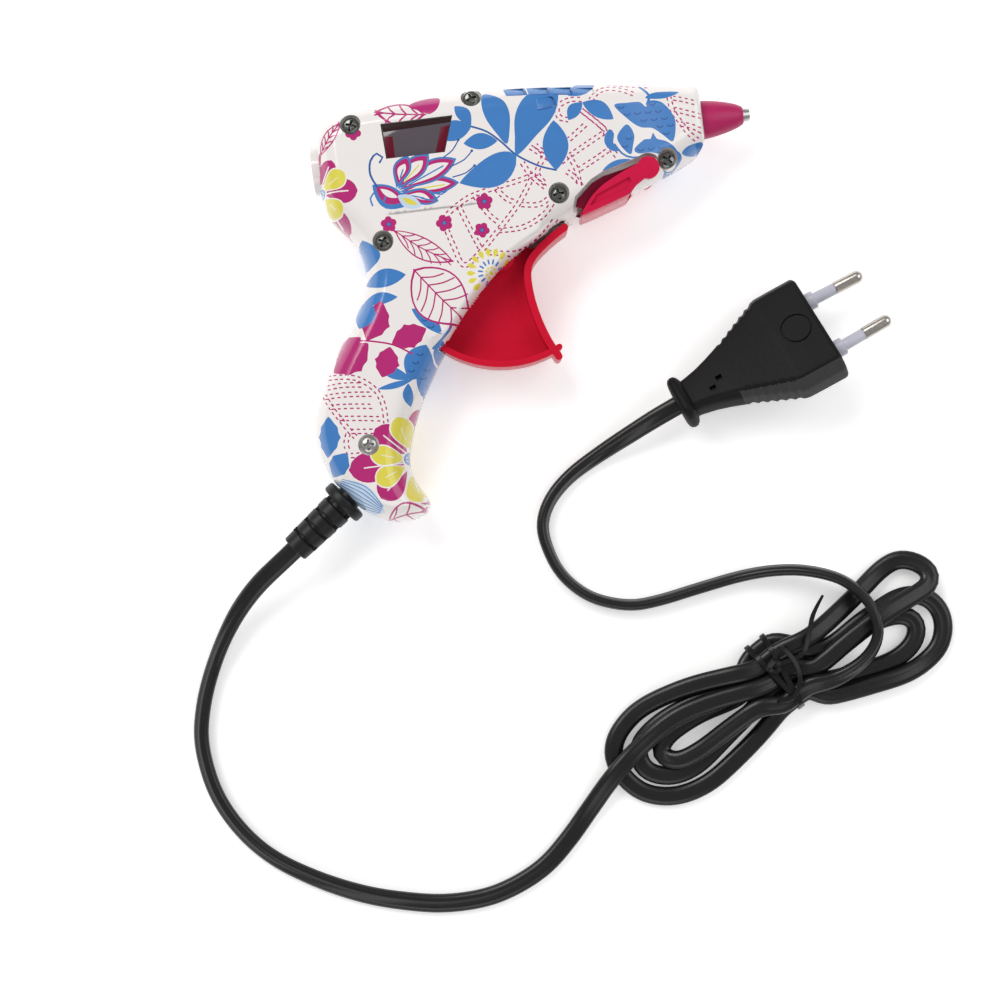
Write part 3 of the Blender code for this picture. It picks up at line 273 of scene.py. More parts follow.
def ribbon(line, width, cap_sides=4):
    """The outline of a strip along a line, with round ends."""
    points = [Vector(p) for p in line]
    left, right = [], []
    for i, p in enumerate(points):
        along = (points[min(i + 1, len(points) - 1)] - points[max(i - 1, 0)]).normalized()
        across = Vector((-along.y, along.x)) * width / 2
        left.append(p + across)
        right.append(p - across)

    def cap(middle, start):
        return [middle + Matrix.Rotation(-math.pi * k / cap_sides, 2) @ start for k in range(1, cap_sides)]

    far = cap(points[-1], left[-1] - points[-1])
    near = cap(points[0], right[0] - points[0])
    return [tuple(p) for p in left + far + right[::-1] + near]


def signed_area(outline):
    return sum(a[0] * b[1] - b[0] * a[1] for a, b in zip(outline, list(outline[1:]) + [outline[0]])) / 2


def prism(outline, low, high, axis="z"):
    """A solid between two levels, from an outline across the given axis."""
    if signed_area(outline) < 0:
        outline = list(outline)[::-1]
    place = {
        "z": lambda u, v, w: (u, v, w),
        "x": lambda u, v, w: (w, u, v),
        "y": lambda u, v, w: (v, w, u),
    }[axis]
    bm = bmesh.new()
    lower = [bm.verts.new(place(u, v, low)) for u, v in outline]
    upper = [bm.verts.new(place(u, v, high)) for u, v in outline]
    bm.faces.new(lower[::-1])
    bm.faces.new(upper)
    count = len(outline)
    for i in range(count):
        j = (i + 1) % count
        bm.faces.new((lower[i], lower[j], upper[j], upper[i]))
    return bm


def block(x, y, z):
    return prism([(x[0], y[0]), (x[1], y[0]), (x[1], y[1]), (x[0], y[1])], z[0], z[1])


def turned(profile, axis="x", middle=(0.0, 0.0), sides=48):
    """A solid of revolution from (place along the axis, radius) pairs, closed on the axis or on itself."""
    bm = bmesh.new()
    rings = []
    for along, radius in profile:
        if radius == 0:
            rings.append([bm.verts.new((along, 0, 0))])
            continue
        rings.append([bm.verts.new((along, u, v)) for u, v in circle((0, 0), radius, sides)])
    on_axis = len(rings[0]) == 1 and len(rings[-1]) == 1
    pairs = list(zip(rings, rings[1:])) + ([] if on_axis else [(rings[-1], rings[0])])
    for a, b in pairs:
        for i in range(sides):
            j = (i + 1) % sides
            corners = [a[i % len(a)], a[j % len(a)], b[j % len(b)], b[i % len(b)]]
            corners = [v for k, v in enumerate(corners) if v not in corners[:k]]
            bm.faces.new(corners)
    if axis == "z":
        bm.transform(Matrix(((0, 0, 1, middle[0]), (0, 1, 0, middle[1]), (-1, 0, 0, 0), (0, 0, 0, 1))))
        bmesh.ops.scale(bm, vec=(1, 1, -1), verts=bm.verts)
    else:
        bm.transform(Matrix.Translation((0, middle[0], middle[1])))
    bmesh.ops.recalc_face_normals(bm, faces=bm.faces)
    return bm


def lofted(rings, closed_ends=True):
    """A solid through rings of points that all hold the same number."""
    bm = bmesh.new()
    verts = [[bm.verts.new(p) for p in ring] for ring in rings]
    count = len(rings[0])
    for a, b in zip(verts, verts[1:]):
        for i in range(count):
            j = (i + 1) % count
            bm.faces.new((a[i], a[j], b[j], b[i]))
    if closed_ends:
        bm.faces.new(verts[0][::-1])
        bm.faces.new(verts[-1])
    bmesh.ops.recalc_face_normals(bm, faces=bm.faces)
    return bm


def mirrored(bm, side):
    if side < 0:
        bmesh.ops.scale(bm, vec=(1, 1, -1), verts=bm.verts)
        bmesh.ops.reverse_faces(bm, faces=bm.faces)
    return bm


def made_object(name, bm, finishes=(), angle=35.0):
    """An object from a shape in gun millimetres, placed in the row frame."""
    bm.transform(Matrix.Scale(MM, 4) @ Matrix.Translation(BARREL_REAR))
    mesh = bpy.data.meshes.new(name)
    bm.to_mesh(mesh)
    bm.free()
    obj = bpy.data.objects.new(name, mesh)
    bpy.context.scene.collection.objects.link(obj)
    for finish in finishes:
        mesh.materials.append(finish)
    mesh.shade_smooth()
    mesh.set_sharp_from_angle(angle=math.radians(angle))
    return obj


def evaluated(obj):
    """The object's mesh with its modifiers worked out."""
    graph = bpy.context.evaluated_depsgraph_get()
    return bpy.data.meshes.new_from_object(obj.evaluated_get(graph))


def settle(obj, angle=35.0):
    """Works out an object's modifiers for good."""
    mesh = evaluated(obj)
    obj.modifiers.clear()
    obj.data = mesh
    mesh.shade_smooth()
    mesh.set_sharp_from_angle(angle=math.radians(angle))
    return obj


def boolean(obj, operation, shapes):
    """Booleans with shapes in gun millimetres, worked out at once."""
    helpers = []
    for i, bm in enumerate(shapes):
        helper = bm if isinstance(bm, bpy.types.Object) else made_object(f"helper_{i}", bm)
        helpers.append(helper)
        modifier = obj.modifiers.new(f"b{i}", "BOOLEAN")
        modifier.operation = operation
        modifier.object = helper
    settle(obj)
    for helper in helpers:
        bpy.data.objects.remove(helper)
    return obj


def bevelled(obj, width, segments=2, angle=40.0):
    modifier = obj.modifiers.new("bevel", "BEVEL")
    modifier.width = width * MM
    modifier.segments = segments
    modifier.limit_method = "ANGLE"
    modifier.angle_limit = math.radians(angle)
    modifier.harden_normals = False
    return settle(obj, 50.0)


def on_body(obj, body, slot, *nodes):
    """The piece rides on a body and stands for CAD nodes. slot is not used."""
    if nodes:
        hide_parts(*nodes)
    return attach(obj, body)


# ------------------------------------------------------------------------------------------ the casing

HALF_THICKNESS = 14.0
WALL = 1.8
SEAM_GAP = 0.15
SEAM_LAND = 0.5
EDGE_ROUNDING = 8.0
TRIGGER_EDGE_ROUNDING = 3.0
FRONT_X = 117.2
FRONT_ROUNDING = 2.6
NOZZLE_HOLE_RADIUS = 6.2
INLET_RADIUS = 4.3
INLET_COLLAR_RADIUS = 7.2
INLET_COLLAR_Y = -1.2
SLOT_HALF_WIDTH = 8.4
STAND_FLOOR = 8.2
TRIGGER_PIVOT = (52.5, -34.0)
STAND_PIVOT = (98.8, -13.8)
CASING_EDGE = (
    (116.6, 7.1), (115.7, 9.1), (113.1, 10.4), (109.3, 11.2), (100.4, 12.5), (88.5, 13.9),
    (79.5, 14.9), (70.5, 15.7), (61.5, 16.2), (52.5, 16.5), (43.4, 16.6), (34.4, 16.6),
    (25.3, 16.2), (17.7, 15.8), (11.5, 15.0), (6.8, 13.2), (3.4, 10.8), (1.7, 7.6),
    (1.2, 3.8), (1.2, -1.0), (1.3, -6.8), (1.8, -11.4), (3.0, -15.8), (5.4, -19.2),
    (8.2, -22.4), (10.4, -26.1), (11.6, -30.7), (11.8, -34.7), (11.0, -38.2), (9.4, -42.3),
    (6.9, -46.8), (3.2, -52.4), (-0.5, -58.0), (-3.9, -63.6), (-6.3, -68.7), (-7.9, -72.8),
    (-8.8, -77.0), (-8.9, -81.1), (-8.3, -85.7), (-6.9, -90.4), (-5.0, -94.4), (-2.0, -98.2),
    (1.2, -102.3), (4.6, -105.2), (9.0, -107.6), (13.0, -108.6), (17.5, -108.5), (21.0, -107.0),
    (22.5, -104.6), (21.7, -101.8), (19.9, -98.9), (18.4, -95.0), (18.1, -90.5), (19.0, -86.1),
    (20.5, -81.7), (22.1, -78.0), (24.1, -73.7), (26.2, -70.0), (28.5, -66.2), (31.0, -62.4),
    (34.4, -58.0), (38.6, -52.5), (44.9, -45.4), (51.5, -39.2), (56.4, -35.6), (61.5, -32.6),
    (66.4, -30.1), (71.9, -27.6), (76.0, -25.7), (82.4, -23.3), (88.7, -21.2), (97.2, -18.6),
    (102.9, -16.3), (108.9, -13.8), (113.7, -11.3), (115.7, -9.3), (116.6, -6.6), (117.1, -2.9),
    (117.2, 1.0), (117.1, 4.6),
)
TRIGGER_EDGE_SPAN = ((70.0, -28.0), (32.5, -60.5))
WINDOW = ((22.1, 7.9), (43.4, 7.9), (39.9, -2.6), (22.6, -2.5))
# x, y and the height of the floor under each screw's head
CASE_SCREWS = (
    (13.3, 9.0, 9.3),
    (49.5, 12.9, 7.4),
    (18.7, -26.2, 9.8),
    (71.6, -18.5, 9.8),
    (105.0, -11.7, 5.4),
    (7.2, -84.9, 10.9),
)
SHANK_HOLE_RADIUS = 1.6
COUNTERBORE_RADIUS = 3.1
BOSS_RADIUS = 3.0
CUP_RADIUS = 4.2
RELIEF_SEAT = Vector((-1.3, -99.3, 0.0))
RELIEF_WAY = Vector((-0.80, -0.60, 0.0))
FINE_STEP = 0.9
FINE_SHARES = (0.012, 0.045, 0.1, 0.18, 0.28, 0.40, 0.54, 0.69, 0.84)
SKIN = 0.05  # the print's height above the plastic

# The vents on the top shoulder: each a sloping dent with its deep end in front
LOUVRES = [
    ((60.3, 12.0), (65.4, 11.6), (64.9, 13.9), (59.8, 14.2)),
    ((67.0, 11.3), (72.2, 10.8), (71.9, 13.2), (66.6, 13.6)),
    ((73.8, 10.6), (79.0, 10.0), (78.6, 12.4), (73.4, 12.8)),
    ((80.6, 9.8), (85.8, 9.2), (85.4, 11.6), (80.2, 12.0)),
    ((68.4, 6.3), (73.6, 7.0), (73.0, 9.7), (68.3, 9.8)),
]
LOUVRE_DEPTH = 0.8
# Ribs across the barrel: place, reach, notch radius, start from the seam
RIBS = ((9.0, 8.0, 5.9, 3.8), (17.2, 7.5, 5.9, 3.8), (72.0, 8.5, 6.5, -1.0), (107.6, 8.0, 5.4, -1.0))

# A low step along the side: the panel above it stands proud and fades away upwards
CREASE_Y, CREASE_X, CREASE_LIFT = -18.8, (20.4, 50.0), 0.34


def distances(points, edge, closed=True):
    """Each point's distance to an outline, and the place along it that is nearest."""
    start = np.array(edge)
    way = np.roll(start, -1, axis=0) - start
    if not closed:
        start, way = start[:-1], way[:-1]
    reach_all, foot_all = [], []
    for part in np.array_split(points, max(1, len(points) // 4000)):
        offset = part[:, None, :] - start[None]
        share = np.clip((offset * way).sum(axis=2) / (way * way).sum(axis=1), 0, 1)
        foot = start[None] + share[..., None] * way[None]
        reach = np.linalg.norm(part[:, None, :] - foot, axis=2)
        nearest = reach.argmin(axis=1)
        rows = np.arange(len(part))
        reach_all.append(reach[rows, nearest])
        foot_all.append(foot[rows, nearest])
    return np.concatenate(reach_all), np.concatenate(foot_all)


def smooth_step(value):
    value = np.clip(value, 0.0, 1.0)
    return value * value * (3 - 2 * value)


def full_thickness(x, y):
    """Half the casing's thickness away from its edges."""
    front = 4.4 * smooth_step((x - 72.0) / 50.0)
    handle = 1.7 * smooth_step((-y - 38.0) / 45.0)
    return HALF_THICKNESS - front - handle


def rounding_at(foot):
    (x1, y1), (x0, y0) = TRIGGER_EDGE_SPAN
    length = math.hypot(x1 - x0, y1 - y0)
    share = ((foot[:, 0] - x0) * (x1 - x0) + (foot[:, 1] - y0) * (y1 - y0)) / length ** 2
    off = np.abs((foot[:, 0] - x0) * (y1 - y0) - (foot[:, 1] - y0) * (x1 - x0)) / length
    inside = smooth_step(share / 0.12) * smooth_step((1 - share) / 0.12) * (off < 5)
    return EDGE_ROUNDING + (TRIGGER_EDGE_ROUNDING - EDGE_ROUNDING) * inside


def quarter(share, power=2.0):
    share = np.clip(share, 0.0, 1.0)
    return (1 - (1 - share) ** power) ** (1 / power)


def inside(points, outline):
    """Which points lie inside an outline."""
    x, y = points[:, 0], points[:, 1]
    found = np.zeros(len(points), bool)
    for (x1, y1), (x2, y2) in zip(outline, list(outline[1:]) + [outline[0]]):
        if y1 == y2:
            continue
        crosses = (y1 > y) != (y2 > y)
        found ^= crosses & (x < (x2 - x1) * (y - y1) / (y2 - y1) + x1)
    return found


def casing_height(points, edge, inset):
    """The casing's height above the seam at each point. inset is the wall for the hollow's own height."""
    first = next(i for i, p in enumerate(edge) if p[0] < FRONT_X - inset - 2.2)
    side = [p for p in edge[first:] if p[0] < FRONT_X - inset - 2.2]
    side_distance, foot = distances(points, side, closed=False)
    side_share = side_distance / (rounding_at(foot) - inset / 2)
    front_share = (FRONT_X - inset - points[:, 0]) / FRONT_ROUNDING
    height = full_thickness(points[:, 0], points[:, 1]) - inset
    return height * quarter(side_share) * quarter(front_share, 3.0)


def louvre_drop(points):
    """How far the vents' slopes lie below the casing's side."""
    drop = np.zeros(len(points))
    for quad in LOUVRES:
        within = inside(points, quad)
        slope = (points[:, 0] - quad[0][0]) / (quad[1][0] - quad[0][0])
        drop = np.where(within, LOUVRE_DEPTH * np.clip(slope, 0.0, 1.0) ** 0.8, drop)
    return drop


def crease_lift(points):
    """How far the panel above the step stands proud."""
    x, y = points[:, 0], points[:, 1]
    ends = smooth_step((x - CREASE_X[0]) / 3.0) * smooth_step((CREASE_X[1] - x) / 6.0)
    above = np.maximum(y - CREASE_Y, 0.0)
    return np.where(y > CREASE_Y - 0.01, CREASE_LIFT * ends * np.exp(-above / 6.0), 0.0)


def inset_points(edge, depth):
    """The points at the given depth inside an outline, in order, without those that cross over."""
    line = [Vector(p) for p in edge]
    moved = []
    for i, p in enumerate(line):
        along = (line[(i + 1) % len(line)] - line[i - 1]).normalized()
        moved.append(p + Vector((-along.y, along.x)) * depth)
    reach, _ = distances(np.array([tuple(p) for p in moved]), [tuple(p) for p in line])
    return [p for p, far in zip(moved, reach) if far > depth * 0.985]


def pillow(inset, base, step, shares, cap_step, sunk=0.0):
    """One half of the casing as a solid, or its hollow, from its edge up to its rounded side."""
    edge = rounded(CASING_EDGE, step, closed=True)
    edge = inset_points(edge, inset) if inset else edge
    flat_edge = [tuple(p) for p in edge]
    count = len(edge)
    points = list(edge)
    for share in shares:
        points += inset_points(edge, share * EDGE_ROUNDING)
    points += inset_points(edge, EDGE_ROUNDING)[::2]
    grid = np.array([(x, y) for x in np.arange(-8.0, FRONT_X, cap_step)
                     for y in np.arange(-106.0, 16.0, cap_step)])
    deep, _ = distances(grid, flat_edge)
    within = inside(grid, flat_edge)
    clear = EDGE_ROUNDING + cap_step / 4
    points += [Vector(p) for p, far, ok in zip(grid, deep, within) if ok and far > clear]
    boundary = [(i, (i + 1) % count) for i in range(count)]
    flat, _, faces, origins, _, _ = delaunay_2d_cdt(points, boundary, [], 1, 1e-4)
    places = np.array([tuple(p) for p in flat])
    heights = casing_height(places, flat_edge, inset)
    if sunk:
        for quad in LOUVRES:
            cx = sum(p[0] for p in quad) / 4
            cy = sum(p[1] for p in quad) / 4
            wide = [(cx + (x - cx) * 1.35, cy + (y - cy) * 1.5) for x, y in quad]
            heights = np.where(inside(places, wide), heights - sunk, heights)
    bm = bmesh.new()
    on_edge = {i for i, from_points in enumerate(origins) if any(k < count for k in from_points)}
    verts = []
    for i, (p, height) in enumerate(zip(flat, heights)):
        verts.append(bm.verts.new((p.x, p.y, SEAM_LAND if i in on_edge else max(height, SEAM_LAND + 0.02))))
    for face in faces:
        bm.faces.new([verts[i] for i in face])
    rim = [e for e in bm.edges if e.is_boundary]
    grown = bmesh.ops.extrude_edge_only(bm, edges=rim)["geom"]
    for v in grown:
        if isinstance(v, bmesh.types.BMVert):
            v.co.z = base
    bmesh.ops.contextual_create(bm, geom=[e for e in grown if isinstance(e, bmesh.types.BMEdge)])
    bmesh.ops.recalc_face_normals(bm, faces=bm.faces)
    return bm


def stand_recess(grow):
    cx, cy = STAND_PIVOT
    arc = [(cx + (4.2 + grow) * math.cos(a), cy + (4.2 + grow) * math.sin(a))
           for a in (math.radians(d) for d in range(10, 136, 12))]
    top = [(85.3, -13.6 + grow), (81.4, -15.6 + grow), (76.2 - grow, -20.0 + grow), (75.4 - grow, -22.5)]
    return [(cx + 4.8 + grow, -34.0), (cx + 4.8 + grow, -14.5)] + arc + top + [(75.4 - grow, -34.0)]


def relief_cylinder(radius, start, end):
    bm = turned([(start, 0), (start, radius), (end, radius), (end, 0)])
    turn = RELIEF_WAY.to_track_quat("X", "Z").to_matrix().to_4x4()
    bm.transform(Matrix.Translation(RELIEF_SEAT) @ turn)
    return bm


def trigger_slot():
    edge = [(73.6, -26.9), (66.4, -30.1), (61.5, -32.6), (56.4, -35.6), (51.5, -39.2), (44.9, -45.4),
            (38.6, -52.5), (34.4, -58.0), (32.0, -61.2)]
    return [(x + 5.0, y - 4.0) for x, y in edge] + [(x - 2.6, y + 3.2) for x, y in edge][::-1]


def half_disc(radius):
    steps = 28
    return [(radius * math.cos(math.pi * k / steps) + INLET_COLLAR_Y,
             radius * math.sin(math.pi * k / steps) + SEAM_GAP)
            for k in range(steps + 1)]


def saddle(x, y_reach, notch_radius, foot):
    """A rib across the barrel with a round notch on the axis. foot is how far from the seam it starts."""
    steps = 10
    low = math.asin(foot / notch_radius)
    angles = [low + (math.pi - 2 * low) * k / steps for k in range(steps + 1)]
    notch = [(notch_radius * math.cos(a), notch_radius * math.sin(a)) for a in angles]
    outline = [(-y_reach, foot), (-y_reach, 15.0), (y_reach, 15.0), (y_reach, foot)]
    return prism(outline + notch, x, x + 1.2, axis="x")


def casing_shell(side):
    """The white plastic of one half: walls, hollow, bosses, ribs and openings."""
    label = "right" if side > 0 else "left"
    hollow = made_object(f"hollow_{label}", mirrored(pillow(WALL, -1.0, 3.4, (0.07, 0.27, 0.56), 13.0, 0.4),
                                                     side))
    kept = [prism(circle((x, y), BOSS_RADIUS, 24), -2.0, 15.0) for x, y, _ in CASE_SCREWS]
    if side > 0:
        kept += [prism(circle((x, y), CUP_RADIUS, 24), floor - 1.4, 15.0) for x, y, floor in CASE_SCREWS]
    kept += [saddle(*rib) for rib in RIBS]
    kept.append(block((45.8, 66.0), (-5.4, -3.9), (8.2, 15.0)))
    kept.append(block((45.8, 66.0), (3.9, 5.4), (8.2, 15.0)))
    kept.append(prism(circle(TRIGGER_PIVOT, 3.6, 24), SLOT_HALF_WIDTH, 15.0))
    kept.append(prism(stand_recess(1.7), STAND_FLOOR - 1.6, 15.0))
    kept.append(prism([(74.6, -21.4), (95.2, -15.2), (95.2, -30.0), (74.6, -30.0)], -2.0, 15.0))
    kept.append(relief_cylinder(7.0, -WALL - 0.8, 6.0))
    boolean(hollow, "DIFFERENCE", [mirrored(bm, side) for bm in kept])
    shell = made_object(f"casing_shell_{label}",
                        mirrored(pillow(0.0, SEAM_GAP, FINE_STEP, FINE_SHARES, 4.0, LOUVRE_DEPTH + 0.15),
                                 side),
                        [INKS["white"]])
    boolean(shell, "UNION", [mirrored(prism(half_disc(INLET_COLLAR_RADIUS), 0.0, 3.0, axis="x"), side)])
    holes = [
        prism(WINDOW, 5.0, 20.0),
        prism(trigger_slot(), -1.0, SLOT_HALF_WIDTH),
        turned([(-2, 0), (-2, INLET_RADIUS), (6.0, INLET_RADIUS), (6.0, 0)]),
        turned([(112.5, 0), (112.5, NOZZLE_HOLE_RADIUS), (122, NOZZLE_HOLE_RADIUS), (122, 0)]),
        prism(circle(TRIGGER_PIVOT, 1.85), -1.0, 11.4),
        prism(stand_recess(0.0), STAND_FLOOR, 20.0),
        prism([(76.4, -23.0), (93.4, -17.7), (95.0, -30.0), (75.4, -30.0)], -1.0, 20.0),
        prism(circle(STAND_PIVOT, 1.7), -1.0, 20.0),
        relief_cylinder(4.3, -9.0, 9.0),
    ]
    for x, y, floor in CASE_SCREWS:
        if side > 0:
            holes.append(prism(circle((x, y), SHANK_HOLE_RADIUS), -1.0, 20.0))
            holes.append(prism(circle((x, y), COUNTERBORE_RADIUS, 40), floor, 22.0))
        else:
            holes.append(prism(circle((x, y), SHANK_HOLE_RADIUS), -1.0, 9.2))
    boolean(shell, "DIFFERENCE", [hollow] + [mirrored(bm, side) for bm in holes])
    return on_body(shell, "gun", "printed_casing", f"casing_{label}")


# ------------------------------------------------------------------------------------------ the print
# A generic floral pattern: leaves, petals, stems and stitched lines, each an ink and an outline.

def leaf(base, tip, width, bend=0.0, middle=0.5, lobes=0, depth=0.0, steps=14):
    """A pointed leaf from base to tip. middle is where it is widest, bend bows it to the left."""
    base, tip = Vector(base), Vector(tip)
    way = tip - base
    across = Vector((-way.y, way.x)).normalized()
    power = math.log(0.5) / math.log(middle)
    left, right = [], []
    for k in range(steps + 1):
        t = k / steps
        half = width / 2 * math.sin(math.pi * t ** power) ** 0.85
        half *= 1 - depth * abs(math.sin(math.pi * lobes * t)) if lobes else 1
        spine = base + way * t + across * bend * math.sin(math.pi * t)
        left.append(spine + across * half)
        right.append(spine - across * half)
    return [tuple(p) for p in left + right[-2:0:-1]]


def petal(base, tip, width, steps=14):
    """A petal that is narrow at its base and round at its tip."""
    base, tip = Vector(base), Vector(tip)
    way = tip - base
    across = Vector((-way.y, way.x)).normalized()
    left, right = [], []
    for k in range(steps + 1):
        t = k / steps
        half = width / 2 * (math.sin(math.pi * t ** 1.5) ** 0.62 if 0 < t < 1 else 0.0)
        left.append(base + way * t + across * half)
        right.append(base + way * t - across * half)
    return [tuple(p) for p in left + right[-2:0:-1]]


def dot(middle, radius, sides=10):
    return circle(middle, radius, sides)


def stroke(ink, points, width, step=1.4):
    return [(ink, ribbon(rounded(points, step), width, 3))]


def stitched(points, spacing=1.25, dash=1.2, gap=0.62, width=0.42, ink="magenta"):
    """Two rows of short dashes, either side of a line."""
    line = rounded(points, 0.2)
    made = []
    for shift in (-spacing / 2, spacing / 2):
        row, run = [], []
        for i, p in enumerate(line):
            along = (line[min(i + 1, len(line) - 1)] - line[max(i - 1, 0)]).normalized()
            row.append(p + Vector((-along.y, along.x)) * shift)
        travelled, previous = (0.0 if shift < 0 else dash * 0.3), row[0]
        for p in row:
            travelled += (p - previous).length
            previous = p
            if travelled % (dash + gap) < dash:
                run.append(p)
            elif len(run) > 1:
                made.append((ink, ribbon([run[0], run[-1]], width, 1)))
                run = []
            else:
                run = []
    return made


def veined(ink, base, tip, width, veins, bend=0.0, line=0.6, middle=0.5, inner="white"):
    """A leaf drawn in line: its edge, its spine and curved veins."""
    made = [(ink, leaf(base, tip, width, bend, middle))]
    b, t = Vector(base), Vector(tip)
    way = (t - b).normalized()
    made.append((inner, leaf(b + way * line * 1.5, t - way * line * 1.9, width - 2 * line, bend, middle)))
    made += stroke(ink, [b, (b + t) / 2 + Vector((-way.y, way.x)) * bend, t], line * 0.8)
    length = (t - b).length
    across = Vector((-way.y, way.x))
    for k in range(veins):
        share = 0.14 + 0.68 * k / max(1, veins - 1)
        start = b + way * length * share + across * bend * math.sin(math.pi * share)
        reach = 0.46 * width * math.sin(math.pi * min(0.98, share + 0.12)) ** 0.85
        for hand in (-1, 1):
            end = start + way * length * 0.17 + across * hand * reach
            made += stroke(ink, [start, (start + end) / 2 + way * length * 0.025, end], line * 0.85)
    return made


def small_flower(middle, radius, turn=0.0, ink="magenta", heart="blue"):
    made = []
    for k in range(5):
        angle = turn + 2 * math.pi * k / 5
        made.append((ink, dot(Vector(middle) + Vector((math.cos(angle), math.sin(angle))) * radius * 0.6,
                              radius * 0.5)))
    made.append((ink, dot(middle, radius * 0.62)))
    made.append(("plum", dot(middle, radius * 0.34)))
    made.append((heart, dot(middle, radius * 0.24)))
    return made


def blossom(middle, magentas, yellows, heart):
    """Broad magenta petals with yellow ones between them, each with a pale edge and a pale midline."""
    made = []
    for base, tip, width in magentas:
        made.append(("magenta", petal(base, tip, width)))
        b, t = Vector(base), Vector(tip)
        made += stroke("white", [b, b + (t - b) * 0.72], 0.4)
    for base, tip, width in yellows:
        b, t = Vector(base), Vector(tip)
        out = (t - b).normalized() * 0.4
        made.append(("white", petal(b - out, t + out, width + 0.8)))
        made.append(("yellow", petal(base, tip, width)))
        made += stroke("white", [b + (t - b) * 0.3, b + (t - b) * 0.68], 0.22)
    made.append(("white", dot(middle, heart + 0.4, 20)))
    made.append(("blue", dot(middle, heart, 20)))
    for k in range(7):
        angle = 2 * math.pi * k / 7
        made.append(("pale", dot(Vector(middle) + Vector((math.cos(angle), math.sin(angle))) * heart * 0.6,
                                 0.3)))
    return made


def dotted(outline, spacing=3.1, ink="deep"):
    """Rows of small crescents inside an outline."""
    edge = np.array(outline)
    low, high = edge.min(axis=0), edge.max(axis=0)
    grid = np.array([(x + (spacing / 2 if row % 2 else 0), y)
                     for row, y in enumerate(np.arange(low[1] + 0.6, high[1], spacing * 0.72))
                     for x in np.arange(low[0] + 0.4, high[0], spacing)])
    reach, _ = distances(grid, outline)
    made = []
    for p, far, ok in zip(grid, reach, inside(grid, outline)):
        if ok and far > 0.9:
            angles = [math.radians(d) for d in range(190, 351, 32)]
            arc = [(p[0] + 0.85 * math.cos(a), p[1] + 0.6 * math.sin(a)) for a in angles]
            made.append((ink, ribbon(arc, 0.46, 3)))
    return made


def smooth_patch(ink, corners, step=0.8):
    return (ink, [tuple(p) for p in rounded(corners, step, closed=True)])


def fan_blossom():
    """A generic side-on flower: outlined petals fanned from a cup, with stamens and a curled stem."""
    made = []
    foot = Vector((24.0, -12.6))
    for degrees, length, width in ((2, 19.0, 5.4), (22, 20.5, 6.4), (42, 15.0, 6.2), (64, 11.5, 5.2),
                                   (-18, 13.0, 4.8)):
        a = math.radians(degrees)
        way = Vector((math.cos(a), math.sin(a)))
        base, tip = foot + way * 1.2, foot + way * length
        made.append(("blue", leaf(base, tip, width, 0.4, 0.6)))
        made.append(("magenta", leaf(base + way * 1.4, tip - way * 0.9, width - 1.1, 0.4, 0.6)))
        made.append(("white", leaf(base + way * 2.6, tip - way * 2.6, width - 2.9, 0.4, 0.6)))
        made += stroke("yellow" if degrees in (2, 42) else "blue", [base + way * 3.4, tip - way * 4.4], 0.4)
    for degrees, length in ((8, 24.5), (18, 25.5), (29, 24.0)):
        a = math.radians(degrees)
        way = Vector((math.cos(a), math.sin(a)))
        lift = Vector((-way.y, way.x))
        made += stroke("deep", [foot + way * 17.5, foot + way * (length - 3) + lift * 0.2,
                                foot + way * length + lift * 1.6], 0.38)
        made.append(("deep", dot(foot + way * length + lift * 1.6, 0.42)))
    made.append(("blue", leaf((27.5, -16.8), (17.6, -9.6), 6.6, 0.8, 0.5)))
    made.append(("magenta", leaf((26.2, -15.6), (18.6, -10.2), 4.6, 0.6, 0.5)))
    made.append(("white", leaf((24.6, -14.2), (19.8, -11.0), 1.8, 0.2, 0.5)))
    made += stroke("deep", [(19.0, -10.4), (17.4, -6.5), (17.9, -2.6), (20.0, -0.6), (21.6, -1.9),
                            (20.6, -3.3)], 0.62)
    made += stroke("blue", [(18.2, -11.6), (16.6, -13.4), (17.0, -15.6)], 0.5)
    made += stroke("blue", [(21.0, -13.6), (20.2, -15.2), (20.8, -16.8)], 0.5)
    made += stroke("blue", [(31.5, -15.2), (34.6, -16.2), (36.8, -15.2)], 0.45)
    made += stroke("blue", [(33.6, -13.4), (37.4, -14.8), (39.6, -13.4)], 0.45)
    made.append(("pale", leaf((24.6, -13.6), (31.2, -17.6), 4.0, -0.3, 0.5)))
    made.append(("yellow", leaf((25.8, -14.4), (30.2, -16.9), 1.6, -0.2, 0.5)))
    return made


def sunburst(middle):
    made = []
    for k in range(17):
        a = 2 * math.pi * (k + 0.3) / 17
        way = Vector((math.cos(a), math.sin(a)))
        made.append(("yellow", leaf(Vector(middle) + way * 4.4, Vector(middle) + way * 7.2, 1.5, 0.0, 0.6,
                                    steps=6)))
    for k in range(15):
        a = 2 * math.pi * k / 15
        way = Vector((math.cos(a), math.sin(a)))
        made.append(("blue", ribbon([Vector(middle) + way * 2.5, Vector(middle) + way * 3.7], 0.5, 2)))
    for k in range(9):
        a = 2 * math.pi * k / 9
        made.append(("yellow", dot(Vector(middle) + Vector((math.cos(a), math.sin(a))) * 1.4, 0.36, 8)))
    made.append(("yellow", dot(middle, 0.55, 8)))
    return made


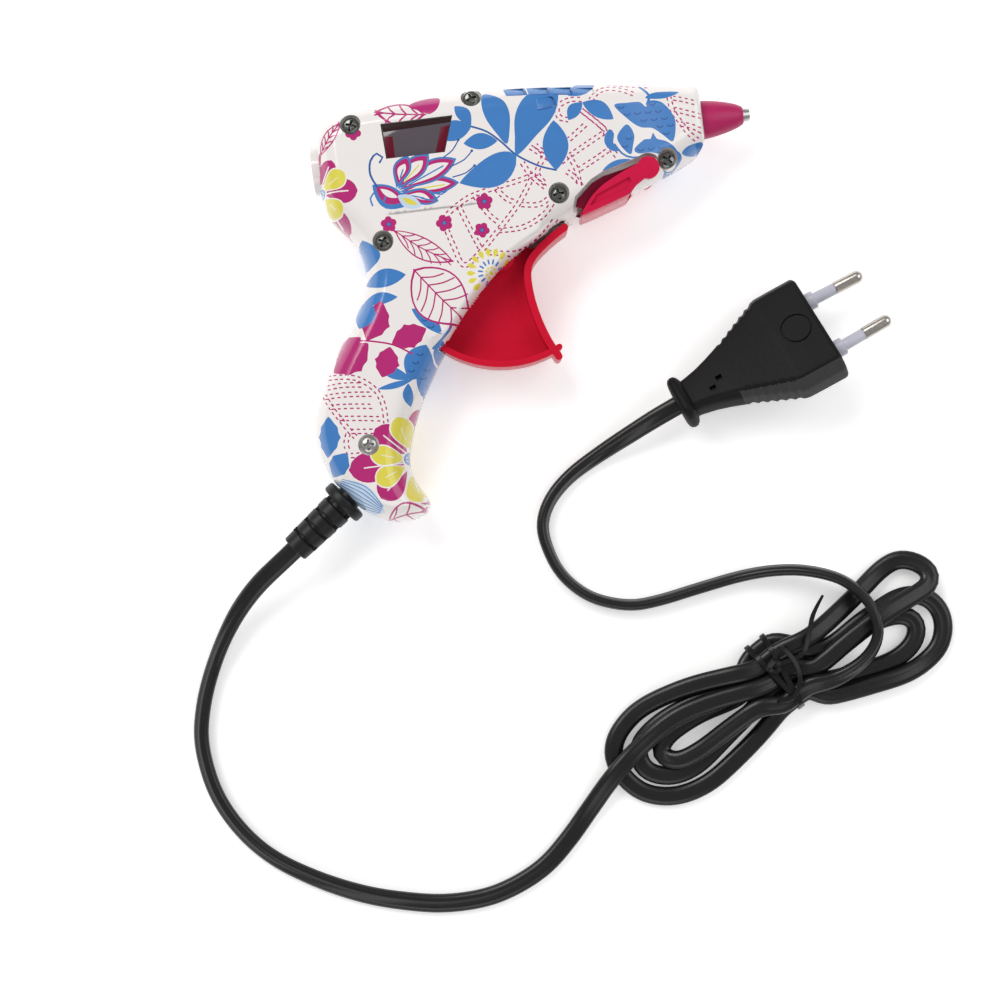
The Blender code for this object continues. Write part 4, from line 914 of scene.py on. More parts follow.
def pattern():
    """Every shape on the skin, those below first: the print, and the painted shade along the vents' edges."""
    made = []
    for line in (
        ((36.9, -23.5), (38.4, -20.9), (41.6, -18.6), (46.0, -16.4), (53.0, -14.8), (60.8, -13.4),
         (66.5, -11.8)),
        ((37.7, -25.5), (39.2, -30.6), (41.4, -36.2), (46.3, -33.2), (53.7, -26.2), (59.8, -19.8),
         (64.6, -12.6)),
        ((42.0, -18.8), (44.2, -25.2), (46.9, -32.2)), ((47.0, -16.4), (50.2, -22.0), (53.6, -25.6)),
        ((53.4, -15.0), (56.4, -18.6), (59.4, -19.8)), ((62.0, -8.4), (64.2, -12.6), (68.0, -16.6)),
        ((49.0, -33.4), (57.0, -34.2), (64.6, -30.6), (70.2, -25.0)),
        ((52.6, -27.4), (60.0, -27.2), (66.2, -24.4), (69.6, -20.8)),
        ((60.2, -20.6), (65.4, -21.2), (69.0, -19.4)), ((64.9, -4.2), (68.8, -7.4), (72.6, -9.8),
                                                        (75.9, -8.0)),
        ((68.6, -7.4), (66.0, -12.0), (68.6, -16.2)), ((74.6, -12.6), (76.6, -14.4), (78.4, -17.4)),
        ((76.2, -8.0), (82.0, -5.0), (87.0, -2.4)),
        ((78.4, -12.4), (83.6, -9.8), (88.0, -7.4)), ((81.6, 4.2), (84.6, 1.2), (87.6, -1.9)),
        ((66.4, -3.8), (68.6, -6.4)), ((77.0, 2.4), (74.4, 3.4), (74.2, 6.4), (78.0, 8.2), (82.0, 7.8)),
        ((81.0, 4.8), (83.4, 2.5), (87.0, -1.5), (87.9, -6.2), (90.0, -10.0)),
        ((84.2, 7.4), (86.3, 9.6), (89.5, 10.8), (93.5, 10.0), (97.3, 8.0)),
        ((76.4, -3.4), (82.2, 0.8)), ((75.8, -8.0), (77.6, -12.6), (77.8, -17.6)),
        ((90.0, 13.0), (96.0, 11.6), (103.0, 10.4)),
        ((107.4, 6.2), (107.9, 2.1), (109.9, -1.7), (112.0, -5.1), (115.3, -7.8)),
        ((108.6, 5.7), (111.2, 5.0), (116.0, 3.2)),
        ((108.4, 2.3), (111.4, 1.2), (116.4, -0.6)), ((109.8, -2.2), (112.8, -3.1), (116.2, -5.0)),
        ((-2.4, -63.8), (5.6, -65.0), (11.0, -69.0), (12.9, -73.9), (13.0, -79.8)),
        ((-3.0, -66.7), (2.6, -66.7), (7.6, -67.3)), ((-4.0, -69.4), (3.6, -69.6), (10.8, -70.4)),
        ((-2.4, -72.6), (4.0, -73.1), (10.6, -74.0)), ((-0.4, -76.2), (5.6, -76.9), (11.8, -77.8)),
        ((2.6, -80.4), (6.0, -80.8), (9.6, -81.2)),
        ((-4.2, -68.9), (-2.3, -72.9), (0.2, -77.0), (2.2, -80.3), (4.6, -83.4)),
        ((1.6, -81.0), (0.6, -84.0), (1.4, -87.2)), ((1.6, -87.4), (3.4, -87.6), (5.0, -87.4)),
    ):
        made += stitched(line)
    # the large blue spray along the barrel
    made += stroke("deep", [(48.2, 4.0), (52.7, 1.9), (56.6, -1.6), (60.6, -6.0), (66.6, -9.9),
                            (71.6, -11.8)], 0.55)
    for base, tip, width, bend, middle in (
        ((48.4, 3.8), (44.3, 10.4), 4.0, -0.6, 0.55), ((48.5, 3.9), (38.6, 1.6), 6.0, -0.6, 0.5),
        ((55.6, -1.2), (45.6, -0.8), 4.8, -0.3, 0.5), ((60.6, -6.1), (43.0, -12.2), 9.0, 1.3, 0.4),
        ((71.6, -11.9), (72.6, 2.8), 7.6, -0.2, 0.5), ((81.6, 7.0), (76.9, 2.3), 3.8, -0.5, 0.5),
        ((81.6, 7.0), (90.2, 1.2), 5.0, 0.6, 0.5), ((77.6, 9.6), (86.4, 13.0), 4.4, 0.3, 0.5),
    ):
        made.append(("blue", leaf(base, tip, width, bend, middle)))
    made.append(smooth_patch("blue", [(58.2, -2.4), (59.7, 2.6), (60.0, 6.8), (58.8, 10.2), (56.0, 12.4),
                                      (53.0, 13.2),
                                      (52.2, 9.8), (53.0, 5.6), (55.4, 1.2)]))
    made.append(smooth_patch("blue", [(60.8, -6.0), (60.8, -0.4), (61.4, 4.8), (63.2, 8.6), (66.0, 11.4),
                                      (70.2, 13.2),
                                      (74.8, 12.4), (74.2, 7.0), (71.8, 3.0), (67.6, -0.6)]))
    for quad in LOUVRES[:3] + LOUVRES[4:]:
        cx, cy = sum(p[0] for p in quad) / 4, sum(p[1] for p in quad) / 4
        made.append(("blue", [(cx + (x - cx) * 1.24, cy + (y - cy) * 1.3) for x, y in quad]))
        # a deep blue line along each vent's lower and front edges: painted shade at the vent's step
        made += stroke("deep", [quad[0], quad[1], quad[2]], 0.4, 0.9)
    for corners in (
        [(90.9, 5.2), (95.0, 5.6), (98.6, 5.4), (100.2, 3.9), (101.6, 5.6), (104.8, 4.9), (107.2, 2.1),
         (108.4, -1.6),
         (107.0, -7.0), (104.4, -5.0), (101.4, -2.6), (97.8, -1.9), (94.6, 0.6)],
        [(95.2, -8.2), (98.6, -5.6), (100.3, -5.7), (101.4, -3.9), (102.2, -5.7), (105.0, -6.8),
         (107.4, -8.8), (108.2, -11.0),
         (104.2, -10.6), (99.8, -9.6), (96.4, -9.6)],
        [(107.6, -9.6), (109.4, -11.6), (106.6, -14.8), (103.6, -16.2), (102.2, -15.0), (104.0, -11.0)],
        [(85.2, -13.8), (86.8, -12.0), (89.8, -10.8), (93.2, -10.9), (95.2, -12.0), (90.2, -13.2)],
        [(87.0, -3.4), (88.7, -1.6), (89.8, -3.0), (89.3, -5.9), (90.8, -8.2), (88.4, -7.9), (86.8, -5.8)],
        [(93.9, -0.7), (95.7, -3.8), (95.0, -7.0), (93.9, -9.6), (91.4, -6.8), (90.7, -3.8)],
    ):
        shape = smooth_patch("blue", corners)
        made.append(shape)
        made += dotted(shape[1])
    made.append(smooth_patch("blue", [(109.4, -10.4), (111.6, -8.5), (115.8, -7.8), (115.4, -10.2),
                                      (111.8, -11.2)]))
    made.append(smooth_patch("blue", [(100.4, 6.5), (103.6, 8.1), (110.6, 7.6), (106.0, 5.9)]))
    made += stroke("blue", [(100.6, 4.6), (101.6, 7.2), (99.4, 10.4)], 0.8)
    made += stroke("blue", [(89.6, -6.2), (91.4, -9.0), (94.4, -10.6), (100.0, -10.4)], 0.6)
    for base, tip, width, bend in (
        ((24.6, -46.9), (32.6, -55.4), 4.2, 0.6), ((27.6, -57.8), (21.3, -67.4), 8.6, 0.3),
        ((27.4, -60.8), (25.0, -74.2), 6.6, 0.5),
    ):
        shape = leaf(base, tip, width, bend)
        made.append(("blue", shape))
        made += dotted(shape)
    # leaves down the neck and the handle
    for base, tip, width, bend in (
        ((11.6, -34.4), (12.6, -24.8), 8.0, -1.4), ((11.6, -38.0), (24.2, -36.8), 5.4, 0.4),
        ((10.4, -43.4), (21.0, -43.0), 3.6, 0.4),
        ((21.9, -67.2), (12.4, -61.8), 3.4, 0.4), ((22.4, -67.4), (11.8, -69.0), 1.9, 0.3),
        ((20.9, -68.4), (20.6, -75.2), 3.0, -0.4),
        ((36.2, -50.8), (38.6, -55.4), 1.8, 0.1), ((32.6, -57.0), (29.8, -63.8), 3.2, -0.3),
    ):
        made.append(("blue", leaf(base, tip, width, bend)))
    made += stroke("blue", [(35.6, -50.4), (35.4, -53.4), (33.2, -55.8), (29.4, -59.0)], 0.7)
    made += stroke("blue", [(22.6, -67.0), (24.0, -66.0)], 0.8)
    for base, tip, width, bend, lobes in (
        ((10.4, -54.6), (16.2, -43.6), 8.6, -0.6, 4), ((8.8, -53.4), (1.0, -57.6), 5.8, 0.0, 3),
        ((10.8, -55.4), (-0.6, -62.6), 9.4, 0.4, 4), ((17.6, -56.4), (28.2, -53.2), 7.6, 0.0, 4),
        ((17.0, -57.2), (13.6, -65.8), 7.6, 0.3, 4),
    ):
        made.append(("magenta", leaf(base, tip, width, bend, 0.5, lobes, 0.16, 22)))
    made += stroke("magenta", [(8.0, -54.3), (11.7, -54.9), (17.9, -56.7), (23.2, -60.0)], 0.5)
    made.append(("blue", leaf((8.6, -50.8), (12.4, -42.6), 6.4, -0.4)))
    made.append(("blue", leaf((-5.4, -87.2), (-3.6, -75.2), 7.0, -0.4, 0.5, 4, 0.16, 22)))
    made.append(("blue", leaf((-4.8, -93.0), (0.6, -86.6), 6.6, 0.2, 0.5, 3, 0.14, 20)))
    made += veined("magenta", (26.6, -35.6), (40.8, -53.4), 15.6, 6, -0.4, 0.5, 0.46)
    made += stroke("magenta", [(20.8, -21.8), (22.0, -23.4), (23.6, -25.0)], 0.5)
    made += veined("magenta", (22.4, -23.6), (38.4, -34.8), 6.4, 6, -0.8, 0.42)
    made += sunburst((49.0, -39.2))
    # top and rear
    made += veined("magenta", (35.6, 9.0), (20.8, 11.8), 7.2, 4, 0.4, 0.6)
    made.append(smooth_patch("magenta", [(30.8, 12.3), (34.8, 14.0), (40.0, 13.9), (39.4, 10.6), (36.8, 9.0),
                                         (34.0, 10.3)]))
    made += veined("magenta", (3.2, 1.4), (10.6, 10.0), 3.8, 5, 0.3, 0.45)
    made += stroke("magenta", [(3.2, 1.8), (2.4, -2.0), (2.2, -6.0)], 0.9)
    made += fan_blossom()
    made += blossom(
        (1.9, -9.4),
        (((2.6, -7.0), (6.6, -0.8), 5.2), ((3.0, -9.8), (13.2, -10.6), 7.0),
         ((2.8, -12.0), (8.6, -23.4), 6.2)),
        (((2.8, -8.6), (10.0, -5.0), 5.6), ((3.0, -11.2), (7.4, -17.0), 5.2)),
        1.5,
    )
    made += blossom(
        (18.6, -90.4),
        (((19.2, -87.6), (23.6, -75.8), 5.6), ((17.8, -88.8), (9.6, -80.4), 8.4),
         ((17.2, -91.4), (0.4, -91.6), 9.0),
         ((17.2, -93.4), (8.8, -101.0), 8.2), ((19.2, -94.6), (23.0, -104.6), 6.2)),
        (((18.6, -87.4), (16.4, -77.8), 6.2), ((17.2, -90.4), (7.4, -87.4), 5.6),
         ((16.8, -92.6), (8.2, -96.2), 6.0),
         ((18.2, -95.0), (20.6, -103.4), 6.8)),
        2.0,
    )
    stripes = leaf((-4.6, -94.6), (9.4, -105.2), 9.0, -0.4)
    made.append(("pale", stripes))
    for shift in (-3.2, -2.1, -1.0, 0.1, 1.2, 2.3, 3.3):
        made += stroke("blue", [(-3.0 + shift * 0.3, -95.4 + shift * 0.45),
                                (2.6 + shift * 0.7, -99.6 + shift * 0.75),
                                (8.4 + shift * 0.2, -104.2 + shift * 0.3)], 0.24)
    made += veined("magenta", (9.6, -107.9), (22.0, -106.4), 7.4, 3, 0.6, 0.5)
    for middle, radius, turn in (((49.6, -18.4), 2.3, 0.2), ((37.2, -23.2), 2.3, 0.6),
                                 ((47.9, -26.6), 2.1, 1.0),
                                 ((21.0, -21.6), 2.2, 0.3), ((13.9, 6.4), 2.2, 0.9)):
        made += small_flower(middle, radius, turn)
    return made


def casing_skin(side, shapes):
    """The printed outer surface of one half: the casing's side cut into inked shapes, with its openings."""
    edge = rounded(CASING_EDGE, FINE_STEP, closed=True)
    flat_edge = [tuple(p) for p in edge]
    points = list(edge)
    lines = [(i, (i + 1) % len(edge)) for i in range(len(edge))]

    def add_loop(outline):
        start = len(points)
        points.extend(Vector(p) for p in outline)
        lines.extend((start + i, start + (i + 1) % len(outline)) for i in range(len(outline)))

    openings = [list(WINDOW), stand_recess(0.0)]
    if side > 0:
        openings += [circle((x, y), COUNTERBORE_RADIUS, 40) for x, y, _ in CASE_SCREWS]
    for outline in openings:
        add_loop(outline)
    for quad in LOUVRES:
        add_loop(quad)
        cx, cy = sum(p[0] for p in quad) / 4, sum(p[1] for p in quad) / 4
        add_loop([(cx + (x - cx) * 0.975, cy + (y - cy) * 0.96) for x, y in quad])
    for _, outline in shapes:
        add_loop(outline)
    for level in (CREASE_Y, CREASE_Y - 0.14):
        start = len(points)
        points.extend(Vector((x, level)) for x in np.arange(CREASE_X[0], CREASE_X[1] + 0.1, 1.48))
        lines.extend((i, i + 1) for i in range(start, len(points) - 1))
    for share in FINE_SHARES:
        points += inset_points(edge, share * EDGE_ROUNDING)
    points += inset_points(edge, EDGE_ROUNDING)
    grid = np.array([(x, y) for x in np.arange(-9.0, FRONT_X, 2.0) for y in np.arange(-108.0, 16.0, 2.0)])
    points += [Vector(p) for p, ok in zip(grid, inside(grid, flat_edge)) if ok]
    flat, _, faces, _, _, _ = delaunay_2d_cdt(points, lines, [], 0, 1e-4)
    places = np.array([tuple(p) for p in flat])
    centres = np.array([places[list(face)].mean(axis=0) for face in faces])
    keep = inside(centres, flat_edge)
    for outline in openings:
        keep &= ~inside(centres, outline)
    ink = np.zeros(len(faces), int)
    for name, outline in shapes:
        box = np.array(outline)
        low, high = box.min(axis=0), box.max(axis=0)
        near = np.nonzero((centres >= low).all(axis=1) & (centres <= high).all(axis=1))[0]
        if len(near):
            ink[near[inside(centres[near], outline)]] = INK_ORDER.index(name)
    # the surface and the way it faces, from places kept just inside the edge
    reach, foot = distances(places, flat_edge)
    inward = places - foot
    length = np.maximum(np.linalg.norm(inward, axis=1), 1e-6)
    ahead = edge[1:] + edge[:1]
    first_in = np.array([tuple((ahead[i] - edge[i - 1]).normalized()) for i in range(len(edge))])
    nearest = np.array([np.argmin(((np.array(flat_edge) - f) ** 2).sum(axis=1)) for f in foot])
    tangent_in = np.stack([-first_in[nearest, 1], first_in[nearest, 0]], axis=1)
    unit = np.where((reach > 0.02)[:, None], inward / length[:, None], tangent_in)
    safe = places + unit * np.maximum(0.0, 0.07 - reach)[:, None]

    def height(where):
        return casing_height(where, flat_edge, 0.0) + crease_lift(where)

    step = 0.03
    slope_x = (height(safe + (step, 0.0)) - height(safe - (step, 0.0))) / (2 * step)
    slope_y = (height(safe + (0.0, step)) - height(safe - (0.0, step))) / (2 * step)
    normals = np.stack([-slope_x, -slope_y, np.ones(len(places))], axis=1)
    normals /= np.linalg.norm(normals, axis=1)[:, None]
    z = np.maximum(height(places), SEAM_LAND) - louvre_drop(places)
    step_faces = np.zeros(len(faces), bool)
    for quad in LOUVRES:
        box = np.array(quad)
        near = ((centres > box.min(axis=0) - 0.3) & (centres < box.max(axis=0) + 0.3)).all(axis=1)
        step_faces |= near & inside(centres, quad)
    step_faces |= ((centres[:, 1] < CREASE_Y) & (centres[:, 1] > CREASE_Y - 0.14)
                   & (centres[:, 0] > CREASE_X[0]) & (centres[:, 0] < CREASE_X[1]))
    surface = np.column_stack([places, z]) + normals * SKIN
    middle_z = np.array([z[list(face)].mean() for face in faces])
    across = centres[:, 1]
    keep &= ~((centres[:, 0] > 112.5) & (across ** 2 + middle_z ** 2 < (NOZZLE_HOLE_RADIUS + 0.1) ** 2))
    from_collar = (across - INLET_COLLAR_Y) ** 2 + middle_z ** 2
    keep &= ~((centres[:, 0] < 3.0) & (from_collar < INLET_COLLAR_RADIUS ** 2))
    keep &= ~(inside(centres, trigger_slot()) & (middle_z < SLOT_HALF_WIDTH))
    off = np.column_stack([centres, middle_z]) - np.array(RELIEF_SEAT)
    along = off @ np.array(RELIEF_WAY)
    keep &= ~((along > -6) & ((off ** 2).sum(axis=1) - along ** 2 < 4.5 ** 2))
    recess_floor = [(76.4, -23.0), (93.4, -17.7), (95.0, -30.0), (75.4, -30.0)]
    keep &= ~inside(centres, recess_floor)
    surface[:, 2] *= side
    normals[:, 2] *= side
    mesh = bpy.data.meshes.new("skin")
    kept = [tuple(face)[::side] for face, ok in zip(faces, keep) if ok]
    mesh.from_pydata((surface + np.array(BARREL_REAR)) * MM, [], kept)
    for name in INK_ORDER:
        mesh.materials.append(INKS[name])
    mesh.polygons.foreach_set("material_index", ink[keep])
    mesh.shade_smooth()
    # the vents' slopes and the step keep their own facing, so that their edges read
    own_facing = step_faces[keep]
    facing = []
    for polygon, own in zip(mesh.polygons, own_facing):
        for vertex in polygon.vertices:
            facing.append(tuple(polygon.normal) if own else tuple(normals[vertex]))
    mesh.normals_split_custom_set(facing)
    mesh.update()
    label = "right" if side > 0 else "left"
    obj = bpy.data.objects.new(f"casing_print_{label}", mesh)
    bpy.context.scene.collection.objects.link(obj)
    return on_body(obj, "gun", "printed_casing")


printed = pattern()
for which in (1, -1):
    casing_shell(which)
    casing_skin(which, printed)

# ------------------------------------------------------------------------------- window and fasteners

def window_lens(side):
    """A smoked lens flush with the casing, with inlays for the red inner parts and the frame's shade."""
    label = "right" if side > 0 else "left"
    corners = [Vector(p) for p in WINDOW]

    def drawn_in(amount):
        moved = []
        for i, p in enumerate(corners):
            a = (corners[i - 1] - p).normalized()
            b = (corners[(i + 1) % 4] - p).normalized()
            moved.append(tuple(p + (a + b) * amount / abs(a.x * b.y - a.y * b.x)))
        return moved

    lens = made_object(f"window_lens_{label}", mirrored(prism(drawn_in(0.1), 11.6, 13.2), side), [SMOKED],
                       20.0)
    bevelled(lens, 0.14, 2, 20.0)
    on_body(lens, "gun", "smoked_window", f"window_pane_{label}")
    (x0, y0), (x1, y1), (x2, y2), (x3, y3) = drawn_in(0.3)
    inlays = (
        ("rear", [(x0 + 0.35, y0 - 3.4), (x0 + 2.8, y0 - 3.7), (x3 + 2.3, y3), (x3, y3)], MAROON),
        ("front", [(x1 - 3.4, y1 - 2.6), (x1 - 0.75, y1 - 2.4), (x2, y2), (x2 - 2.5, y2)], MAROON),
        # the dark strip along the lens's upper edge is painted shade under the frame
        ("shade", [(x0, y0), (x1, y1), (x1 - 0.4, y1 - 1.5), (x0 + 0.2, y0 - 2.1)], PAINTED_FRAME_SHADE),
    )
    for name, outline, finish in inlays:
        inlay = made_object(f"window_{name}_{label}", mirrored(prism(outline, 12.9, 13.24), side), [finish])
        on_body(bevelled(inlay, 0.03, 2), "gun", "smoked_window")


def pan_head(name, place, floor, finish, slot, node, radius=2.45, turn=0.4):
    """A pan-head screw: a domed, slightly flat head with a deep cross."""
    height = 1.9
    dome = [(height * (0.46 + 0.54 * math.cos(a)), radius * math.sin(a) ** 0.9)
            for a in (math.radians(d) for d in range(0, 91, 9))]
    dome[0] = (dome[0][0], 0)
    profile = [(-9.0, 0), (-8.0, 1.3), (0.0, 1.3), (0.0, radius - 0.15),
               (0.15, radius)] + dome[::-1][:-1] + [(dome[0][0], 0)]
    obj = made_object(name, turned(profile, axis="z", middle=(0.0, 0.0), sides=48), [finish], 30.0)
    obj.data.transform(Matrix.Translation(-Vector(to_row((0, 0, 0)))))
    cross = []
    for length, width in ((3.3, 0.75), (0.75, 3.3)):
        bm = lofted([
            [(-length / 2 * k, -width / 2 * k, z), (length / 2 * k, -width / 2 * k, z),
             (length / 2 * k, width / 2 * k, z), (-length / 2 * k, width / 2 * k, z)]
            for k, z in ((0.55, 0.6), (0.95, 1.4), (1.1, 2.6))
        ])
        bm.transform(Matrix.Translation(-BARREL_REAR))
        cross.append(bm)
    boolean(obj, "DIFFERENCE", cross)
    bevelled(obj, 0.07, 2, 45.0)
    obj.matrix_world = Matrix.Translation(to_row((*place, floor))) @ Matrix.Rotation(turn, 4, "Z")
    return on_body(obj, "gun", slot, node)


MAROON = moulded("maroon_behind_glass", (0.13, 0.008, 0.022), 0.3, grain=0.01, specular=0.1)
# painted shade under the window's upper frame, in a dark maroon colour
PAINTED_FRAME_SHADE = moulded("painted_shade_under_window_frame", (0.035, 0.016, 0.018), 0.3, grain=0.01, specular=0.1)
for which in (1, -1):
    window_lens(which)
for number, (x, y, level) in enumerate(CASE_SCREWS, 1):
    bright = number == len(CASE_SCREWS)
    pan_head(f"pan_screw_{number}", (x, y), level + 0.3, STEEL if bright else DARK_STEEL,
             "steel" if bright else "dark_steel", f"case_screw_{number}", turn=0.5 + 0.7 * number)


# --------------------------------------------------------------------------------- trigger and stand

TRIGGER_HALF_WIDTH = 7.8
TRIGGER_WEB_HALF = 1.5
TRIGGER_ARC_RADIUS = 32.0
TRIGGER_ARC_SPAN = (-64.0, -151.0)
BLADE_THICKNESS = 2.2
BLADE_LINE = (
    (72.3, -27.9), (69.4, -29.6), (66.2, -31.8), (63.0, -34.4), (60.7, -37.2), (59.8, -40.2),
    (59.7, -44.0), (60.2, -49.0), (61.5, -54.8), (63.5, -60.6), (66.0, -65.6),
)
ARM_LEAN = math.radians(12.07)
ARM_LENGTH = 24.0


def trigger_piece():
    px, py = TRIGGER_PIVOT
    first, last = TRIGGER_ARC_SPAN
    arc = [(px + TRIGGER_ARC_RADIUS * math.cos(a), py + TRIGGER_ARC_RADIUS * math.sin(a))
           for a in (math.radians(first + (last - first) * k / 60) for k in range(61))]
    blade = rounded(BLADE_LINE, 0.9)
    web = [(49.4, -31.0), (55.5, -30.2), (62.0, -32.2)] + [tuple(p) for p in blade[8:-7]] + arc[2:]
    obj = made_object("trigger_blade", prism(web, -TRIGGER_WEB_HALF, TRIGGER_WEB_HALF), [RED])
    width = TRIGGER_HALF_WIDTH
    lean = Matrix.Translation((px, py, 0)) @ Matrix.Rotation(ARM_LEAN, 4, "Z")
    arm = prism([(-4.0, 0.0), (4.0, 0.0), (4.0, ARM_LENGTH), (-4.0, ARM_LENGTH)], -1.45, 1.45)
    arm.transform(lean)
    fork = block((-1.6, 1.6), (19.0, 30.0), (-3.0, 3.0))
    fork.transform(lean)
    # ribs that stiffen the web behind the blade
    ribs = [prism(ribbon([(px + 30.9 * math.cos(a), py + 30.9 * math.sin(a)),
                          (px + 25.0 * math.cos(a), py + 25.0 * math.sin(a))], 0.9), -3.4, 3.4)
            for a in (math.radians(d) for d in (-142, -131))]
    boolean(obj, "UNION", [
        prism(ribbon(blade, BLADE_THICKNESS, 8), -width, width),
        prism(ribbon(arc, 1.8, 6), 0.2 - width, width - 0.2),
        prism(circle(TRIGGER_PIVOT, 4.2, 48), 0.4 - width, width - 0.4),
        arm,
    ] + ribs)
    boolean(obj, "DIFFERENCE", [fork, prism(circle(TRIGGER_PIVOT, 1.85, 32), -10.0, 10.0)])
    bevelled(obj, 0.35, 3)
    return on_body(obj, "trigger", "red_plastic", "trigger")


STAND_BOSS_RADIUS = 3.3
STAND_LEG = (8.6, 11.0)
STAND_LINE_TOP = ((95.9, -12.2), (92.0, -13.7), (88.4, -15.4), (84.6, -17.4), (81.0, -20.4), (78.3, -23.9))
STAND_LINE_LOW = ((78.0, -25.4), (82.6, -24.1), (92.4, -20.9), (94.6, -18.6), (97.4, -16.8))
STAND_WEB = ((78.3, -24.7), (82.6, -23.4), (92.0, -20.3))


def stand_piece():
    cx, cy = STAND_PIVOT
    arc = [(cx + STAND_BOSS_RADIUS * math.cos(a), cy + STAND_BOSS_RADIUS * math.sin(a))
           for a in (math.radians(d) for d in range(-95, 146, 8))]
    top = [tuple(p) for p in rounded([arc[-1]] + list(STAND_LINE_TOP), 1.2)[1:]]
    leg = arc + top + list(STAND_LINE_LOW)
    low, high = STAND_LEG
    obj = made_object("folding_stand", prism(ribbon(rounded(STAND_WEB, 1.0), 1.4), -9.2, 9.2), [CLEAR_RED])
    recess = [(82.6, -19.9), (92.8, -15.9), (93.4, -17.2), (91.6, -19.4), (82.2, -22.4), (80.4, -22.8)]
    boolean(obj, "UNION", [prism(leg, low, high), prism(leg, -high, -low)])
    boolean(obj, "DIFFERENCE", [
        prism(circle(STAND_PIVOT, 1.65, 40), low - 0.4, 10.4),
        prism(circle(STAND_PIVOT, 1.65, 40), -10.4, 0.4 - low),
        prism(recess, high - 0.8, high + 2),
        prism(recess, -high - 2, 0.8 - high),
    ])
    bevelled(obj, 0.3, 3)
    on_body(obj, "stand", "clear_red_plastic", "stand")
    # a thin dark red sheet between each leg and the edge of the recess: painted shade in the gap
    shade_sheet_outline = [(95.6, -12.0), (91.6, -13.2), (85.4, -14.5), (81.7, -16.2), (76.9, -20.4), (76.2, -22.6),
              (78.6, -23.6),
              (81.2, -20.2), (84.8, -17.2), (88.6, -15.2), (92.2, -13.6)]
    for side in (1, -1):
        thin = made_object(f"stand_shade_sheet_{'right' if side > 0 else 'left'}",
                           mirrored(prism(shade_sheet_outline, 8.65, 9.6), side), [RECESS_SHADE_RED])
        on_body(bevelled(thin, 0.2, 2), "stand", "clear_red_plastic")


trigger_piece()
stand_piece()


# ------------------------------------------------------------------------- nozzle and strain relief

def nozzle_pieces():
    outside = [(110.6, 6.05), (110.75, 6.2), (112.15, 6.2), (112.3, 6.05), (112.5, 5.8), (117.0, 5.78),
               (118.6, 5.66),
               (120.4, 5.42), (122.2, 5.1), (123.8, 4.76), (125.2, 4.4), (126.4, 4.06), (127.4, 3.74),
               (128.3, 3.38),
               (129.0, 3.02), (129.5, 2.74), (129.7, 2.55)]
    sleeve = turned(outside + [(129.7, 2.42), (129.4, 2.5), (110.6, 4.5)], sides=96)
    on_body(made_object("nozzle_boot", sleeve, [MAGENTA_SILICONE], 28.0), "gun", "magenta_silicone",
            "nozzle_sleeve")
    profile = [(98.2, 1.5), (98.2, 4.0), (106.4, 4.0), (106.4, 4.9), (110.2, 4.9), (110.2, 4.15),
               (128.2, 2.3), (129.9, 2.1),
               (130.3, 1.98), (131.3, 1.86), (131.7, 1.72), (131.8, 1.5), (131.8, 0.9), (131.7, 0.8),
               (129.0, 0.8),
               (126.0, 1.5)]
    on_body(made_object("nozzle_metal", turned(profile, sides=72), [STEEL], 28.0), "gun", "steel",
            "nozzle_tip")


def relief_piece():
    """The sleeve on the lead: a disc against the casing, a neck through it and rings joined by two straps."""
    profile = [(-4.2, 0), (-4.2, 4.4), (-4.0, 4.6), (-3.1, 4.6), (-2.9, 4.4), (-2.9, 3.9), (0.6, 3.9),
               (0.6, 6.3),
               (0.9, 6.75), (1.3, 6.9), (3.0, 6.9), (3.4, 6.75), (3.7, 6.3), (3.7, 3.7)]
    starts = (5.0, 9.6, 14.1, 18.5)
    for i, start in enumerate(starts):
        radius = 4.95 - 0.17 * i
        end = 22.6 if i == len(starts) - 1 else start + 3.6
        profile += [(start, radius - 1.25), (start, radius - 0.3), (start + 0.3, radius),
                    (end - 0.35, radius - 0.1),
                    (end, radius - 0.42), (end, radius - 1.35)]
    profile.append((22.6, 0))
    bm = turned(profile, sides=64)
    turn = RELIEF_WAY.to_track_quat("X", "Z").to_matrix().to_4x4()
    seat = Matrix.Translation(RELIEF_SEAT) @ turn
    bm.transform(seat)
    obj = made_object("relief_sleeve", bm, [BLACK_RUBBER], 32.0)
    straps = []
    for start, end in ((3.6, 5.2), (8.4, 9.8), (13.0, 14.3), (17.5, 18.7)):
        for low, high in ((-4.5, -2.6), (2.6, 4.5)):
            strap = block((start, end), (low, high), (-1.5, 1.5))
            strap.transform(seat)
            straps.append(strap)
    boolean(obj, "UNION", straps)
    return on_body(obj, "gun", "black_rubber", "strain_relief")


nozzle_pieces()
relief_piece()

# The inner parts keep their own shapes and take finishes.
FINISH_OF = {
    "trigger_pin": STEEL, "stick_guide": RED, "feed_carriage": RED, "clamp_lever_pin": STEEL,
    "clamp_lever": RED,
    "feed_sleeve": PALE_SILICONE, "melt_chamber": ALUMINIUM, "heater_element": CERAMIC,
    "heater_clip": STEEL, "stand_pin": STEEL, "lead_end": CORD_BLACK, "cord_clamp": TIE_BLACK,
    "clamp_screw_1": STEEL, "clamp_screw_2": STEEL, "live_wire": BROWN, "neutral_wire": BLUE,
    "live_crimp": STEEL, "neutral_crimp": STEEL,
}
for node, finish in FINISH_OF.items():
    owned = bpy.data.objects[node]
    for owned_slot in owned.material_slots:
        owned_slot.material = finish


